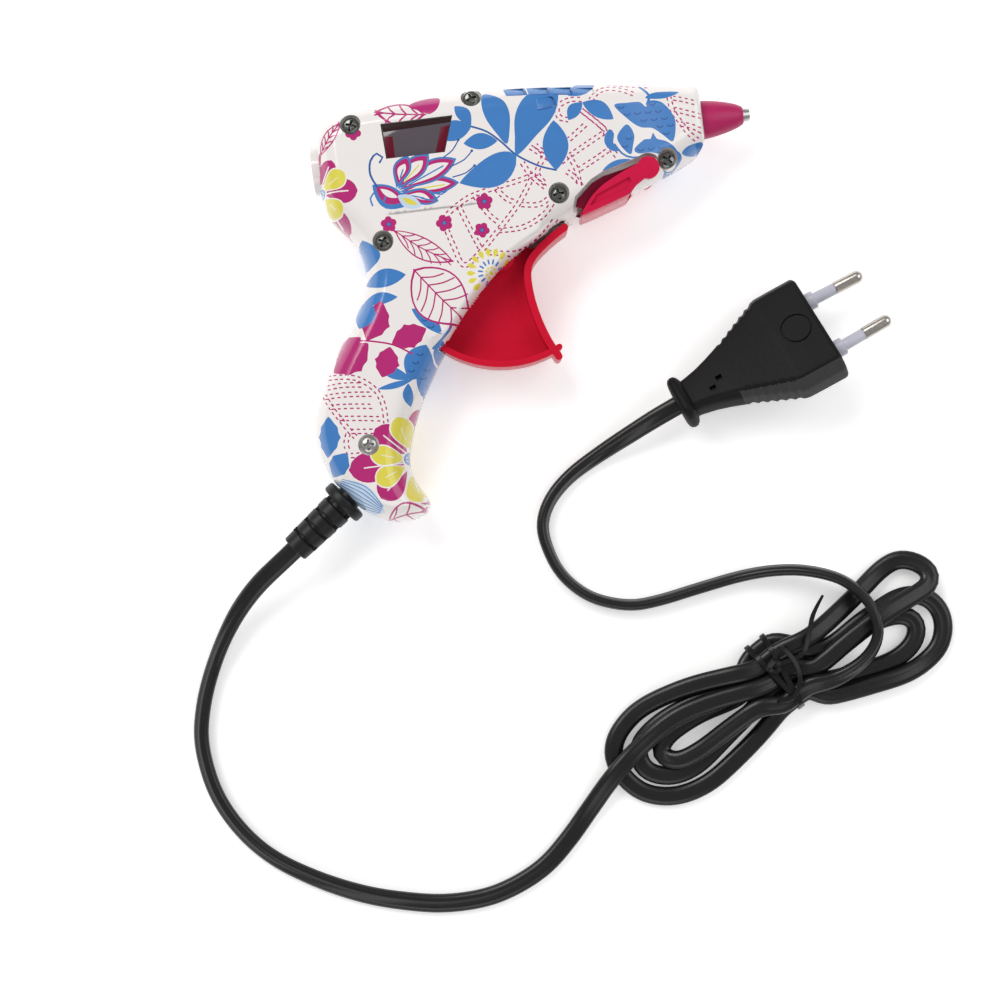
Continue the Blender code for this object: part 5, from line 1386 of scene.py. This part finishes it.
def spring_coil():
    """The return spring, drawn at one length; the real one shortens as the carriage slides towards its fixed
    front end.
    """
    turns, radius, wire = 5, 5.6, 0.45
    rear, front = 54.8, 69.1
    line = []
    for k in range(36 * turns + 1):
        a = math.radians(10 * k)
        line.append(Vector((rear + (front - rear) * k / (36 * turns), radius * math.cos(a),
                            radius * math.sin(a))))
    rings = []
    for i, p in enumerate(line):
        way = (line[min(i + 1, len(line) - 1)] - line[max(i - 1, 0)]).normalized()
        out = Vector((0.0, p.y, p.z)).normalized()
        side = way.cross(out).normalized()
        rings.append([tuple(p + out * wire * math.cos(a) + side * wire * math.sin(a))
                      for a in (math.radians(d) for d in range(0, 360, 36))])
    coil = made_object("spring_coil", lofted(rings), [STEEL], 60.0)
    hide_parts("return_spring")
    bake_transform(coil)


spring_coil()


# ------------------------------------------------------------------------------------------- the plug

PLUG_REAR = Vector((100.2, -83.9, -3.85))
PLUG_FRONT = Vector((145.3, -65.8, -0.2))
PLUG_TILT = math.radians(-27.0)
PLUG_LENGTH = 48.7
PIN_SPACING, PIN_TIP_SPACING, PIN_LENGTH = 18.6, 17.5, 19.0
PLUG_WAY = (PLUG_FRONT - PLUG_REAR).normalized()
PLUG_PLACE = (Matrix.Translation(PLUG_REAR)
              @ (PLUG_WAY.to_track_quat("X", "Z").to_matrix() @ Matrix.Rotation(PLUG_TILT, 3, "X")).to_4x4())


def plug_ring(x, w, t, corner=1.1):
    """A cross-section: a flat top and bottom, sloping shoulders and a rounded middle."""
    corners = [(w, -0.45 * t), (w, 0.45 * t), (0.84 * w, t), (-0.84 * w, t), (-w, 0.45 * t), (-w, -0.45 * t),
               (-0.84 * w, -t), (0.84 * w, -t)]
    ring = []
    for i, p in enumerate(corners):
        p = Vector(p)
        a, b = Vector(corners[i - 1]), Vector(corners[(i + 1) % 8])
        near_a = p + (a - p).normalized() * min(corner, (a - p).length * 0.42)
        near_b = p + (b - p).normalized() * min(corner, (b - p).length * 0.42)
        for k in range(5):
            s = k / 4
            q = near_a * (1 - s) ** 2 + p * 2 * s * (1 - s) + near_b * s ** 2
            ring.append((x, q.x, q.y))
    return ring


def plug_width(x):
    """Half width and half thickness along the plug."""
    stations = ((3.6, 5.4, 4.3), (6.0, 5.7, 4.6), (10.0, 6.6, 4.9), (14.0, 8.0, 5.15), (18.4, 9.8, 5.5),
                (26.2, 13.6, 6.1), (33.6, 17.1, 6.65), (35.6, 17.6, 6.8), (40.0, 17.65, 6.85),
                (47.6, 17.65, 6.85))
    for (xa, wa, ta), (xb, wb, tb) in zip(stations, stations[1:]):
        if x <= xb:
            s = (x - xa) / (xb - xa)
            return wa + (wb - wa) * s, ta + (tb - ta) * s
    return stations[-1][1:]


def plug_pieces():
    body_stations = []
    x = 3.6
    while x < 47.6:
        w, t = plug_width(x)
        grip = 0.0
        if 19.0 < x < 34.0:
            phase = (x - 19.0) / 2.5 % 1.0
            grip = 0.55 * (0.5 - 0.5 * math.cos(2 * math.pi * phase)) ** 0.7
        body_stations.append((x, w - grip, t - grip * 0.12))
        x += 0.28
    body_stations += [(47.6, 17.65, 6.85), (48.2, 17.5, 6.7), (48.7, 17.0, 6.2)]
    bm = lofted([plug_ring(*s) for s in body_stations])
    bm.transform(PLUG_PLACE)
    obj = made_object("plug_moulding", bm, [PLUG_BLACK, PLUG_GRAIN], 38.0)
    inverse = (Matrix.Scale(MM, 4) @ Matrix.Translation(BARREL_REAR) @ PLUG_PLACE).inverted()
    for face in obj.data.polygons:
        middle = inverse @ face.center
        w, t = plug_width(middle.x)
        if abs(middle.y) > 0.86 * w and middle.x > 18.0:
            face.material_index = 1
    mark = turned([(6.3, 4.2), (6.3, 4.75), (7.2, 4.75), (7.2, 4.2)], axis="z", middle=(41.6, 0.0), sides=48)
    mark.transform(PLUG_PLACE)
    holes = []
    for x0, y0 in ((11.6, -3.1), (14.6, -1.0)):
        hole = block((x0 - 1.0, x0 + 1.0), (y0 - 0.8, y0 + 0.8), (3.6, 9.0))
        hole.transform(PLUG_PLACE)
        holes.append(hole)
    boolean(obj, "DIFFERENCE", [mark] + holes)
    collar = lofted([plug_ring(*s, 2.6) for s in (
        (-0.1, 3.4, 2.6), (0.0, 5.6, 4.4), (0.25, 6.6, 5.4), (0.8, 7.3, 6.1), (1.7, 7.6, 6.4),
        (2.7, 7.5, 6.3),
        (3.5, 6.9, 5.7), (4.0, 6.0, 4.9), (4.5, 5.0, 4.0))])
    collar.transform(PLUG_PLACE)
    made = [obj, made_object("plug_collar", collar, [PLUG_BLACK], 40.0)]
    for index, side in ((1, 1), (2, -1)):
        lean = math.atan2((PIN_SPACING - PIN_TIP_SPACING) / 2, PIN_LENGTH)
        place = (PLUG_PLACE @ Matrix.Translation((PLUG_LENGTH - 0.05, side * PIN_SPACING / 2, 0.0))
                 @ Matrix.Rotation(-side * lean, 4, "Z"))
        angles = [math.radians(d) for d in range(0, 88, 8)]
        tip = [(PIN_LENGTH - 2.0 * (1 - math.sin(a)), 2.0 * math.cos(a)) for a in angles]
        pin = turned([(9.8, 0), (9.8, 1.9), (9.95, 2.0)] + tip + [(PIN_LENGTH, 0)], sides=48)
        pin.transform(place)
        sleeve = turned([(0, 0), (0, 2.7), (2.7, 2.7), (3.0, 2.5), (3.1, 1.8), (9.6, 1.8), (9.85, 1.7),
                         (9.85, 0)], sides=48)
        sleeve.transform(place)
        made.append(on_body(made_object(f"plug_prong_{index}", pin, [NICKEL], 30.0), "gun", "nickel",
                            f"plug_pin_{index}"))
        made.append(on_body(made_object(f"prong_sleeve_{index}", sleeve, [SLEEVE_GREY], 30.0), "gun",
                            "pin_insulation",
                            f"pin_sleeve_{index}"))
    on_body(made[0], "gun", "black_rubber", "plug_body")
    on_body(made[1], "gun", "black_rubber")
    return made


plug_set = plug_pieces()


# ------------------------------------------------------------------------------------------- the lead
# A flat twin lead. It is laid in order, and each stretch rests on those already down.

LEAD_WIDTH = 5.8
LEAD_THICKNESS = 3.4
TIE_MIDDLE = Vector((121.3, -168.9))
TIE_ACROSS = Vector((math.cos(math.radians(-59.5)), math.sin(math.radians(-59.5))))
TIE_ALONG = Vector((-TIE_ACROSS.y, TIE_ACROSS.x))


def waist(across, way):
    """Three points straight through the tie, forward (1) or back (-1)."""
    middle = TIE_MIDDLE + TIE_ACROSS * across
    return [tuple(middle + TIE_ALONG * reach * way) for reach in (-5.0, 0.0, 5.0)]


LEAVES_GUN = ((-18.0, -111.8), (-20.1, -113.4), (-25.4, -117.2), (-32.3, -122.3), (-39.4, -129.4),
              (-45.5, -138.0),
              (-50.6, -147.5), (-54.4, -158.0), (-56.1, -169.0), (-53.9, -183.2), (-48.2, -195.0),
              (-39.6, -205.0),
              (-27.6, -213.2), (-13.7, -219.9), (-0.3, -224.0), (13.3, -226.3), (27.9, -225.3),
              (41.9, -219.6),
              (51.5, -211.5), (59.5, -202.6), (66.6, -194.4), (75.2, -186.6), (86.8, -178.4), (99.2, -174.4))
FOLD = ((131.4, -168.2), (142.4, -161.2), (154.2, -154.4), (163.8, -150.2), (169.6, -147.6), (171.0, -143.8),
        (168.0, -140.4), (162.6, -138.6), (156.8, -140.9), (146.6, -148.6), (132.6, -157.8))
LEFT_OUTER = ((106.0, -167.2), (92.0, -169.4), (77.6, -174.8), (69.4, -183.2), (69.2, -191.4), (75.4, -199.4),
              (85.2, -202.2), (96.0, -199.6), (106.4, -192.6), (115.4, -185.2))
RIGHT_OUTER = ((134.6, -177.2), (148.6, -175.6), (162.9, -172.6), (171.8, -166.2), (173.6, -157.6),
               (169.6, -151.2),
               (161.2, -149.9), (148.6, -155.6), (135.4, -162.6))
LEFT_INNER = ((108.6, -171.0), (97.4, -173.4), (83.8, -179.0), (76.2, -186.2), (77.6, -193.0), (84.8, -195.9),
              (93.6, -193.6), (104.2, -185.4), (113.6, -178.0))
RIGHT_INNER = ((133.6, -172.6), (146.4, -171.4), (158.2, -168.6), (164.4, -163.6), (165.2, -158.0),
               (160.6, -155.4),
               (148.6, -157.8), (134.6, -163.6))
LEFT_SMALL = ((108.6, -174.4), (95.6, -178.4), (85.4, -183.8), (82.6, -188.4), (86.8, -191.4), (94.6, -188.9),
              (104.4, -182.8), (114.2, -177.4))
TAIL = ((138.2, -171.8), (147.2, -166.8), (151.6, -159.6), (150.2, -150.2), (143.8, -142.6),
        (134.4, -138.6), (124.8, -137.2), (114.0, -137.7), (99.2, -140.1), (88.4, -142.0), (78.6, -142.4),
        (67.3, -138.4), (59.6, -130.8), (56.3, -122.7), (55.4, -114.9), (58.7, -107.6), (65.7, -101.0),
        (75.6, -95.4), (86.0, -90.3), (93.6, -86.7), (101.6, -83.3))


TAIL_REACH = 260.0  # from the plug back to where the tail climbs over the other strands
# How far the flat lead is turned about its own line, by distance from the gun and from the plug, in degrees
TURN_FROM_GUN = ((0.0, 0.0), (14.0, 10.0), (40.0, 48.0), (110.0, 44.0), (160.0, 8.0), (330.0, 0.0))
TURN_FROM_PLUG = ((0.0, 0.0), (12.0, 20.0), (34.0, 52.0), (70.0, 82.0), (180.0, 82.0), (214.0, 10.0),
                  (228.0, 0.0))


LAYING_STEP = 1.5
HELD_AT_GUN, HELD_AT_PLUG = 44.0, 46.0  # how much of each end keeps the height that its fitting gives it
STRAND_CLEARANCE = 0.22
CLIMB = 0.22  # the steepest rise from one height to another
SAME_STRAND = 40.0  # nearer than this along the lead, two places don't cross each other


def half_sizes(turn):
    """Half the lead's height and half its width where it's turned by this much."""
    wide, thick = LEAD_WIDTH / 2, LEAD_THICKNESS / 2
    return np.hypot(wide * np.sin(turn), thick * np.cos(turn)), np.hypot(wide * np.cos(turn),
                                                                         thick * np.sin(turn))


def lead_turn(steps):
    """The turn of the lead about its own line at each step."""
    start = np.interp(steps, *zip(*TURN_FROM_GUN))
    end = np.interp(steps[-1] - steps, *zip(*TURN_FROM_PLUG))
    turn = np.radians(np.where(steps < TURN_FROM_GUN[-1][0], start,
                               np.where(steps > steps[-1] - TAIL_REACH, end, 0.0)))
    for _ in range(8):
        turn[1:-1] = (turn[:-2] + 2 * turn[1:-1] + turn[2:]) / 4
    return turn


def laid_line():
    """The lead's middle from the gun to the plug, with heights found by laying it in order."""
    flat = list(LEAVES_GUN) + waist(0.0, 1) + list(FOLD) + waist(-6.0, -1) + list(LEFT_OUTER) + waist(9.0, 1)
    flat += list(RIGHT_OUTER) + waist(-9.0, -1) + list(LEFT_INNER) + waist(3.0, 1) + list(RIGHT_INNER)
    flat += waist(-3.0, -1) + list(LEFT_SMALL) + waist(7.5, 1) + list(TAIL)
    line = np.array([tuple(p) for p in rounded(flat, 1.6)])
    for _ in range(3):
        line[1:-1] = (line[:-2] + 2 * line[1:-1] + line[2:]) / 4
    travelled = np.concatenate([[0.0], np.cumsum(np.linalg.norm(np.diff(line, axis=0), axis=1))])
    steps = np.linspace(0.0, travelled[-1], round(travelled[-1] / LAYING_STEP) + 1)
    line = np.column_stack([np.interp(steps, travelled, line[:, 0]), np.interp(steps, travelled, line[:, 1])])
    count = len(line)
    # laid from the tail's start back to the gun, then from there to the plug, so that both ends lie on top
    tail_start = int(np.argmax(steps > steps[-1] - TAIL_REACH))
    order = np.concatenate([np.arange(tail_start)[::-1], np.arange(tail_start, count)])
    turn = lead_turn(steps)
    up, out = half_sizes(turn)
    rest = FLOOR + up + 0.1
    height = rest.copy()
    fixed_low = np.maximum(np.interp(steps, (0.0, 12.0, 26.0, 44.0, 60.0), (0.0, -2.6, -7.0, -10.6, -99.0)),
                           rest)
    end = steps[-1]
    rise = np.maximum(np.interp(steps, (end - HELD_AT_PLUG, end - 34.0, end - 22.0, end - 10.0, end),
                                (-99.0, -11.6, -9.2, -6.2, -5.0)), rest)
    height = np.where(steps < 60.0, fixed_low, height)
    height = np.where(steps > end - HELD_AT_PLUG, rise, height)
    gap = np.linalg.norm(line[:, None, :] - line[None, :, :], axis=2)
    along = np.abs(steps[:, None] - steps[None, :])
    reach = out[:, None] + out[None, :] + 0.1
    share = np.clip(gap / reach, 0.0, 1.0)
    lift = (up[:, None] + up[None, :] + STRAND_CLEARANCE) * np.sqrt(1 - share ** 2)
    rank = np.empty(count, int)
    rank[order] = np.arange(count)
    crosses = (gap < reach) & (along > SAME_STRAND)
    free = (steps >= HELD_AT_GUN) & (steps <= end - HELD_AT_PLUG)
    climb = CLIMB * (steps[1] - steps[0])
    for i in order:
        if not free[i]:
            continue
        under = crosses[i] & (rank < rank[i])
        before = i + 1 if i < tail_start else i - 1
        height[i] = max(rest[i], (height[under] + lift[i, under]).max(initial=-99.0), height[before] - climb)
        # the stretch laid just before this point rises towards it
        step, k = before - i, before
        while free[k] and (k < tail_start) == (i < tail_start) and height[k] < height[k - step] - climb:
            height[k] = height[k - step] - climb
            k += step
    for _ in range(8):
        height[1:-1] = np.maximum((height[:-2] + 2 * height[1:-1] + height[2:]) / 4, rest[1:-1])
    return np.column_stack([line, height]), turn


def twin_section(turn):
    """Two round cores side by side with a shallow groove between them."""
    wide, thick = LEAD_WIDTH / 2, LEAD_THICKNESS / 2
    points = []
    for k in range(28):
        a = 2 * math.pi * k / 28
        u = wide * math.copysign(abs(math.cos(a)) ** 0.84, math.cos(a))
        v = thick * math.copysign(abs(math.sin(a)) ** 0.84, math.sin(a))
        v *= 1 - 0.2 * math.exp(-(u / 0.55) ** 2)
        points.append((u * math.cos(turn) - v * math.sin(turn), u * math.sin(turn) + v * math.cos(turn)))
    return points


def lead_tube(line, turns):
    rings = []
    count = len(line)
    points = [Vector(p) for p in line]
    for i, p in enumerate(points):
        along = (points[min(i + 1, count - 1)] - points[max(i - 1, 0)]).normalized()
        across = Vector((0, 0, 1)).cross(along).normalized()
        up = along.cross(across)
        rings.append([tuple(p + across * u + up * v) for u, v in twin_section(turns[i])])
    return lofted(rings)


lead_line, lead_turns = laid_line()
lead = made_object("flat_lead", lead_tube(lead_line, lead_turns), [CORD_BLACK], 60.0)
on_body(lead, "gun", "black_rubber", "mains_lead", "cord_hank", "plug_lead")


def taut_line(section, clear):
    """The closed line of a strap pulled tight round these points."""
    points = sorted(set(section))

    def chain(ordered):
        kept = []
        for p in ordered:
            while len(kept) > 1:
                (ax, ay), (bx, by) = kept[-2], kept[-1]
                if (bx - ax) * (p[1] - ay) - (by - ay) * (p[0] - ax) > 0:
                    break
                kept.pop()
            kept.append(p)
        return kept[:-1]

    hull = [Vector(p) for p in chain(points) + chain(points[::-1])]
    middle = sum(hull, Vector((0.0, 0.0))) / len(hull)
    ring = []
    for i, a in enumerate(hull):
        b = hull[(i + 1) % len(hull)]
        pieces = max(1, round((b - a).length / 0.6))
        ring += [a.lerp(b, k / pieces) for k in range(pieces)]
    for _ in range(6):
        ring = [(ring[i - 1] + 2 * p + ring[(i + 1) % len(ring)]) / 4 for i, p in enumerate(ring)]
    return [tuple(p + (p - middle).normalized() * clear) for p in ring]


def tie_pieces():
    """The tie: a thin strap twice round the waist, a twisted knot on top and a loose end."""
    near = [p for p in lead_line if abs((Vector(p[:2]) - TIE_MIDDLE).dot(TIE_ALONG)) < 3.0
            and abs((Vector(p[:2]) - TIE_MIDDLE).dot(TIE_ACROSS)) < 14.0]
    top = max(p[2] for p in near) + LEAD_THICKNESS / 2 + 0.15
    section = []
    for p in near:
        across = (Vector(p[:2]) - TIE_MIDDLE).dot(TIE_ACROSS)
        section += [(across + u, max(p[2] + v, FLOOR + 0.3)) for u, v in twin_section(0.0)]
    taut = taut_line(section, 0.42)
    made = []
    for number, (shift, slant) in enumerate(((-1.3, 0.10), (1.3, -0.16))):
        loop = []
        for u, z in taut:
            flat = TIE_MIDDLE + TIE_ACROSS * u + TIE_ALONG * (shift + slant * u)
            loop.append(Vector((flat.x, flat.y, max(z, FLOOR + 0.32))))
        turns = len(loop)
        rings = []
        for i, p in enumerate(loop):
            way = (loop[(i + 1) % turns] - loop[i - 1]).normalized()
            wide = Vector((TIE_ALONG.x, TIE_ALONG.y, 0.0))
            wide = (wide - way * wide.dot(way)).normalized()
            out = way.cross(wide)
            rings.append([tuple(p + wide * w + out * t) for w, t in
                          ((-0.75, -0.28), (0.75, -0.28), (0.9, 0.0), (0.75, 0.28), (-0.75, 0.28),
                           (-0.9, 0.0))])
        bm = lofted(rings + rings[:1], closed_ends=False)
        bmesh.ops.remove_doubles(bm, verts=bm.verts, dist=1e-5)
        bmesh.ops.recalc_face_normals(bm, faces=bm.faces)
        made.append(made_object(f"tie_turn_{number + 1}", bm, [TIE_BLACK], 30.0))
    start = TIE_MIDDLE - TIE_ACROSS * 4.0
    curls = (
        ("tie_end_long", [(start.x, start.y, top + 0.8), (start.x + 4.2, start.y + 0.9, top + 1.8),
                          (128.4, -162.6, top + 2.0),
                          (130.8, -157.6, top + 1.4), (132.8, -151.6, top + 1.6),
                          (136.4, -145.9, top + 2.4)]),
        ("tie_end_short", [(start.x, start.y, top + 0.8), (121.6, -160.2, top + 2.0),
                           (125.2, -164.0, top + 2.4),
                           (126.6, -170.0, top + 2.2), (124.2, -175.2, top + 1.4),
                           (119.6, -176.2, top + 0.6)]),
        ("tie_knot", [(start.x - 1.8, start.y - 1.2, top + 0.7), (start.x - 0.4, start.y + 1.4, top + 1.6),
                      (start.x + 1.6, start.y + 0.4, top + 1.9), (start.x + 0.8, start.y - 1.8, top + 1.3),
                      (start.x - 1.4, start.y - 0.6, top + 1.2), (start.x + 0.2, start.y + 1.6, top + 2.2)]),
    )
    for name, points in curls:
        line = rounded(points, 0.7)
        rings = []
        for i, p in enumerate(line):
            way = (line[min(i + 1, len(line) - 1)] - line[max(i - 1, 0)]).normalized()
            wide = way.cross(Vector((0.2, 0.1, 1.0))).normalized()
            out = way.cross(wide)
            share = i / len(line)
            tapers = name == "tie_end_long" and i >= len(line) * 0.7
            size = 1.0 - 0.5 * (share - 0.7) / 0.3 if tapers else 1.0
            rings.append([tuple(p + wide * w * size + out * t) for w, t in
                          ((-0.6, -0.25), (0.6, -0.25), (0.75, 0.0), (0.6, 0.25), (-0.6, 0.25),
                           (-0.75, 0.0))])
        made.append(made_object(name, lofted(rings), [TIE_BLACK], 30.0))
    for i, obj in enumerate(made):
        on_body(obj, "gun", "black_plastic", *(["cord_tie"] if i == 0 else []))
    return made


tie_set = tie_pieces()


# ------------------------------------------------------------------------------------------- the floor

floor_bm = bmesh.new()
bmesh.ops.create_grid(floor_bm, x_segments=1, y_segments=1, size=12.0)
floor_mesh = bpy.data.meshes.new("floor")
floor_bm.to_mesh(floor_mesh)
floor_bm.free()
floor = bpy.data.objects.new("floor", floor_mesh)
floor.location = (0.0, 0.0, -0.0002)
bpy.context.scene.collection.objects.link(floor)
floor_material, _, _, floor_shader = shader_of("floor_white", (0.93, 0.93, 0.93), 0.85)
floor_shader.inputs["Specular IOR Level"].default_value = 0.1
floor_shader.inputs["Emission Color"].default_value = (1.0, 1.0, 1.0, 1.0)
floor_shader.inputs["Emission Strength"].default_value = 0.34
floor_mesh.materials.append(floor_material)
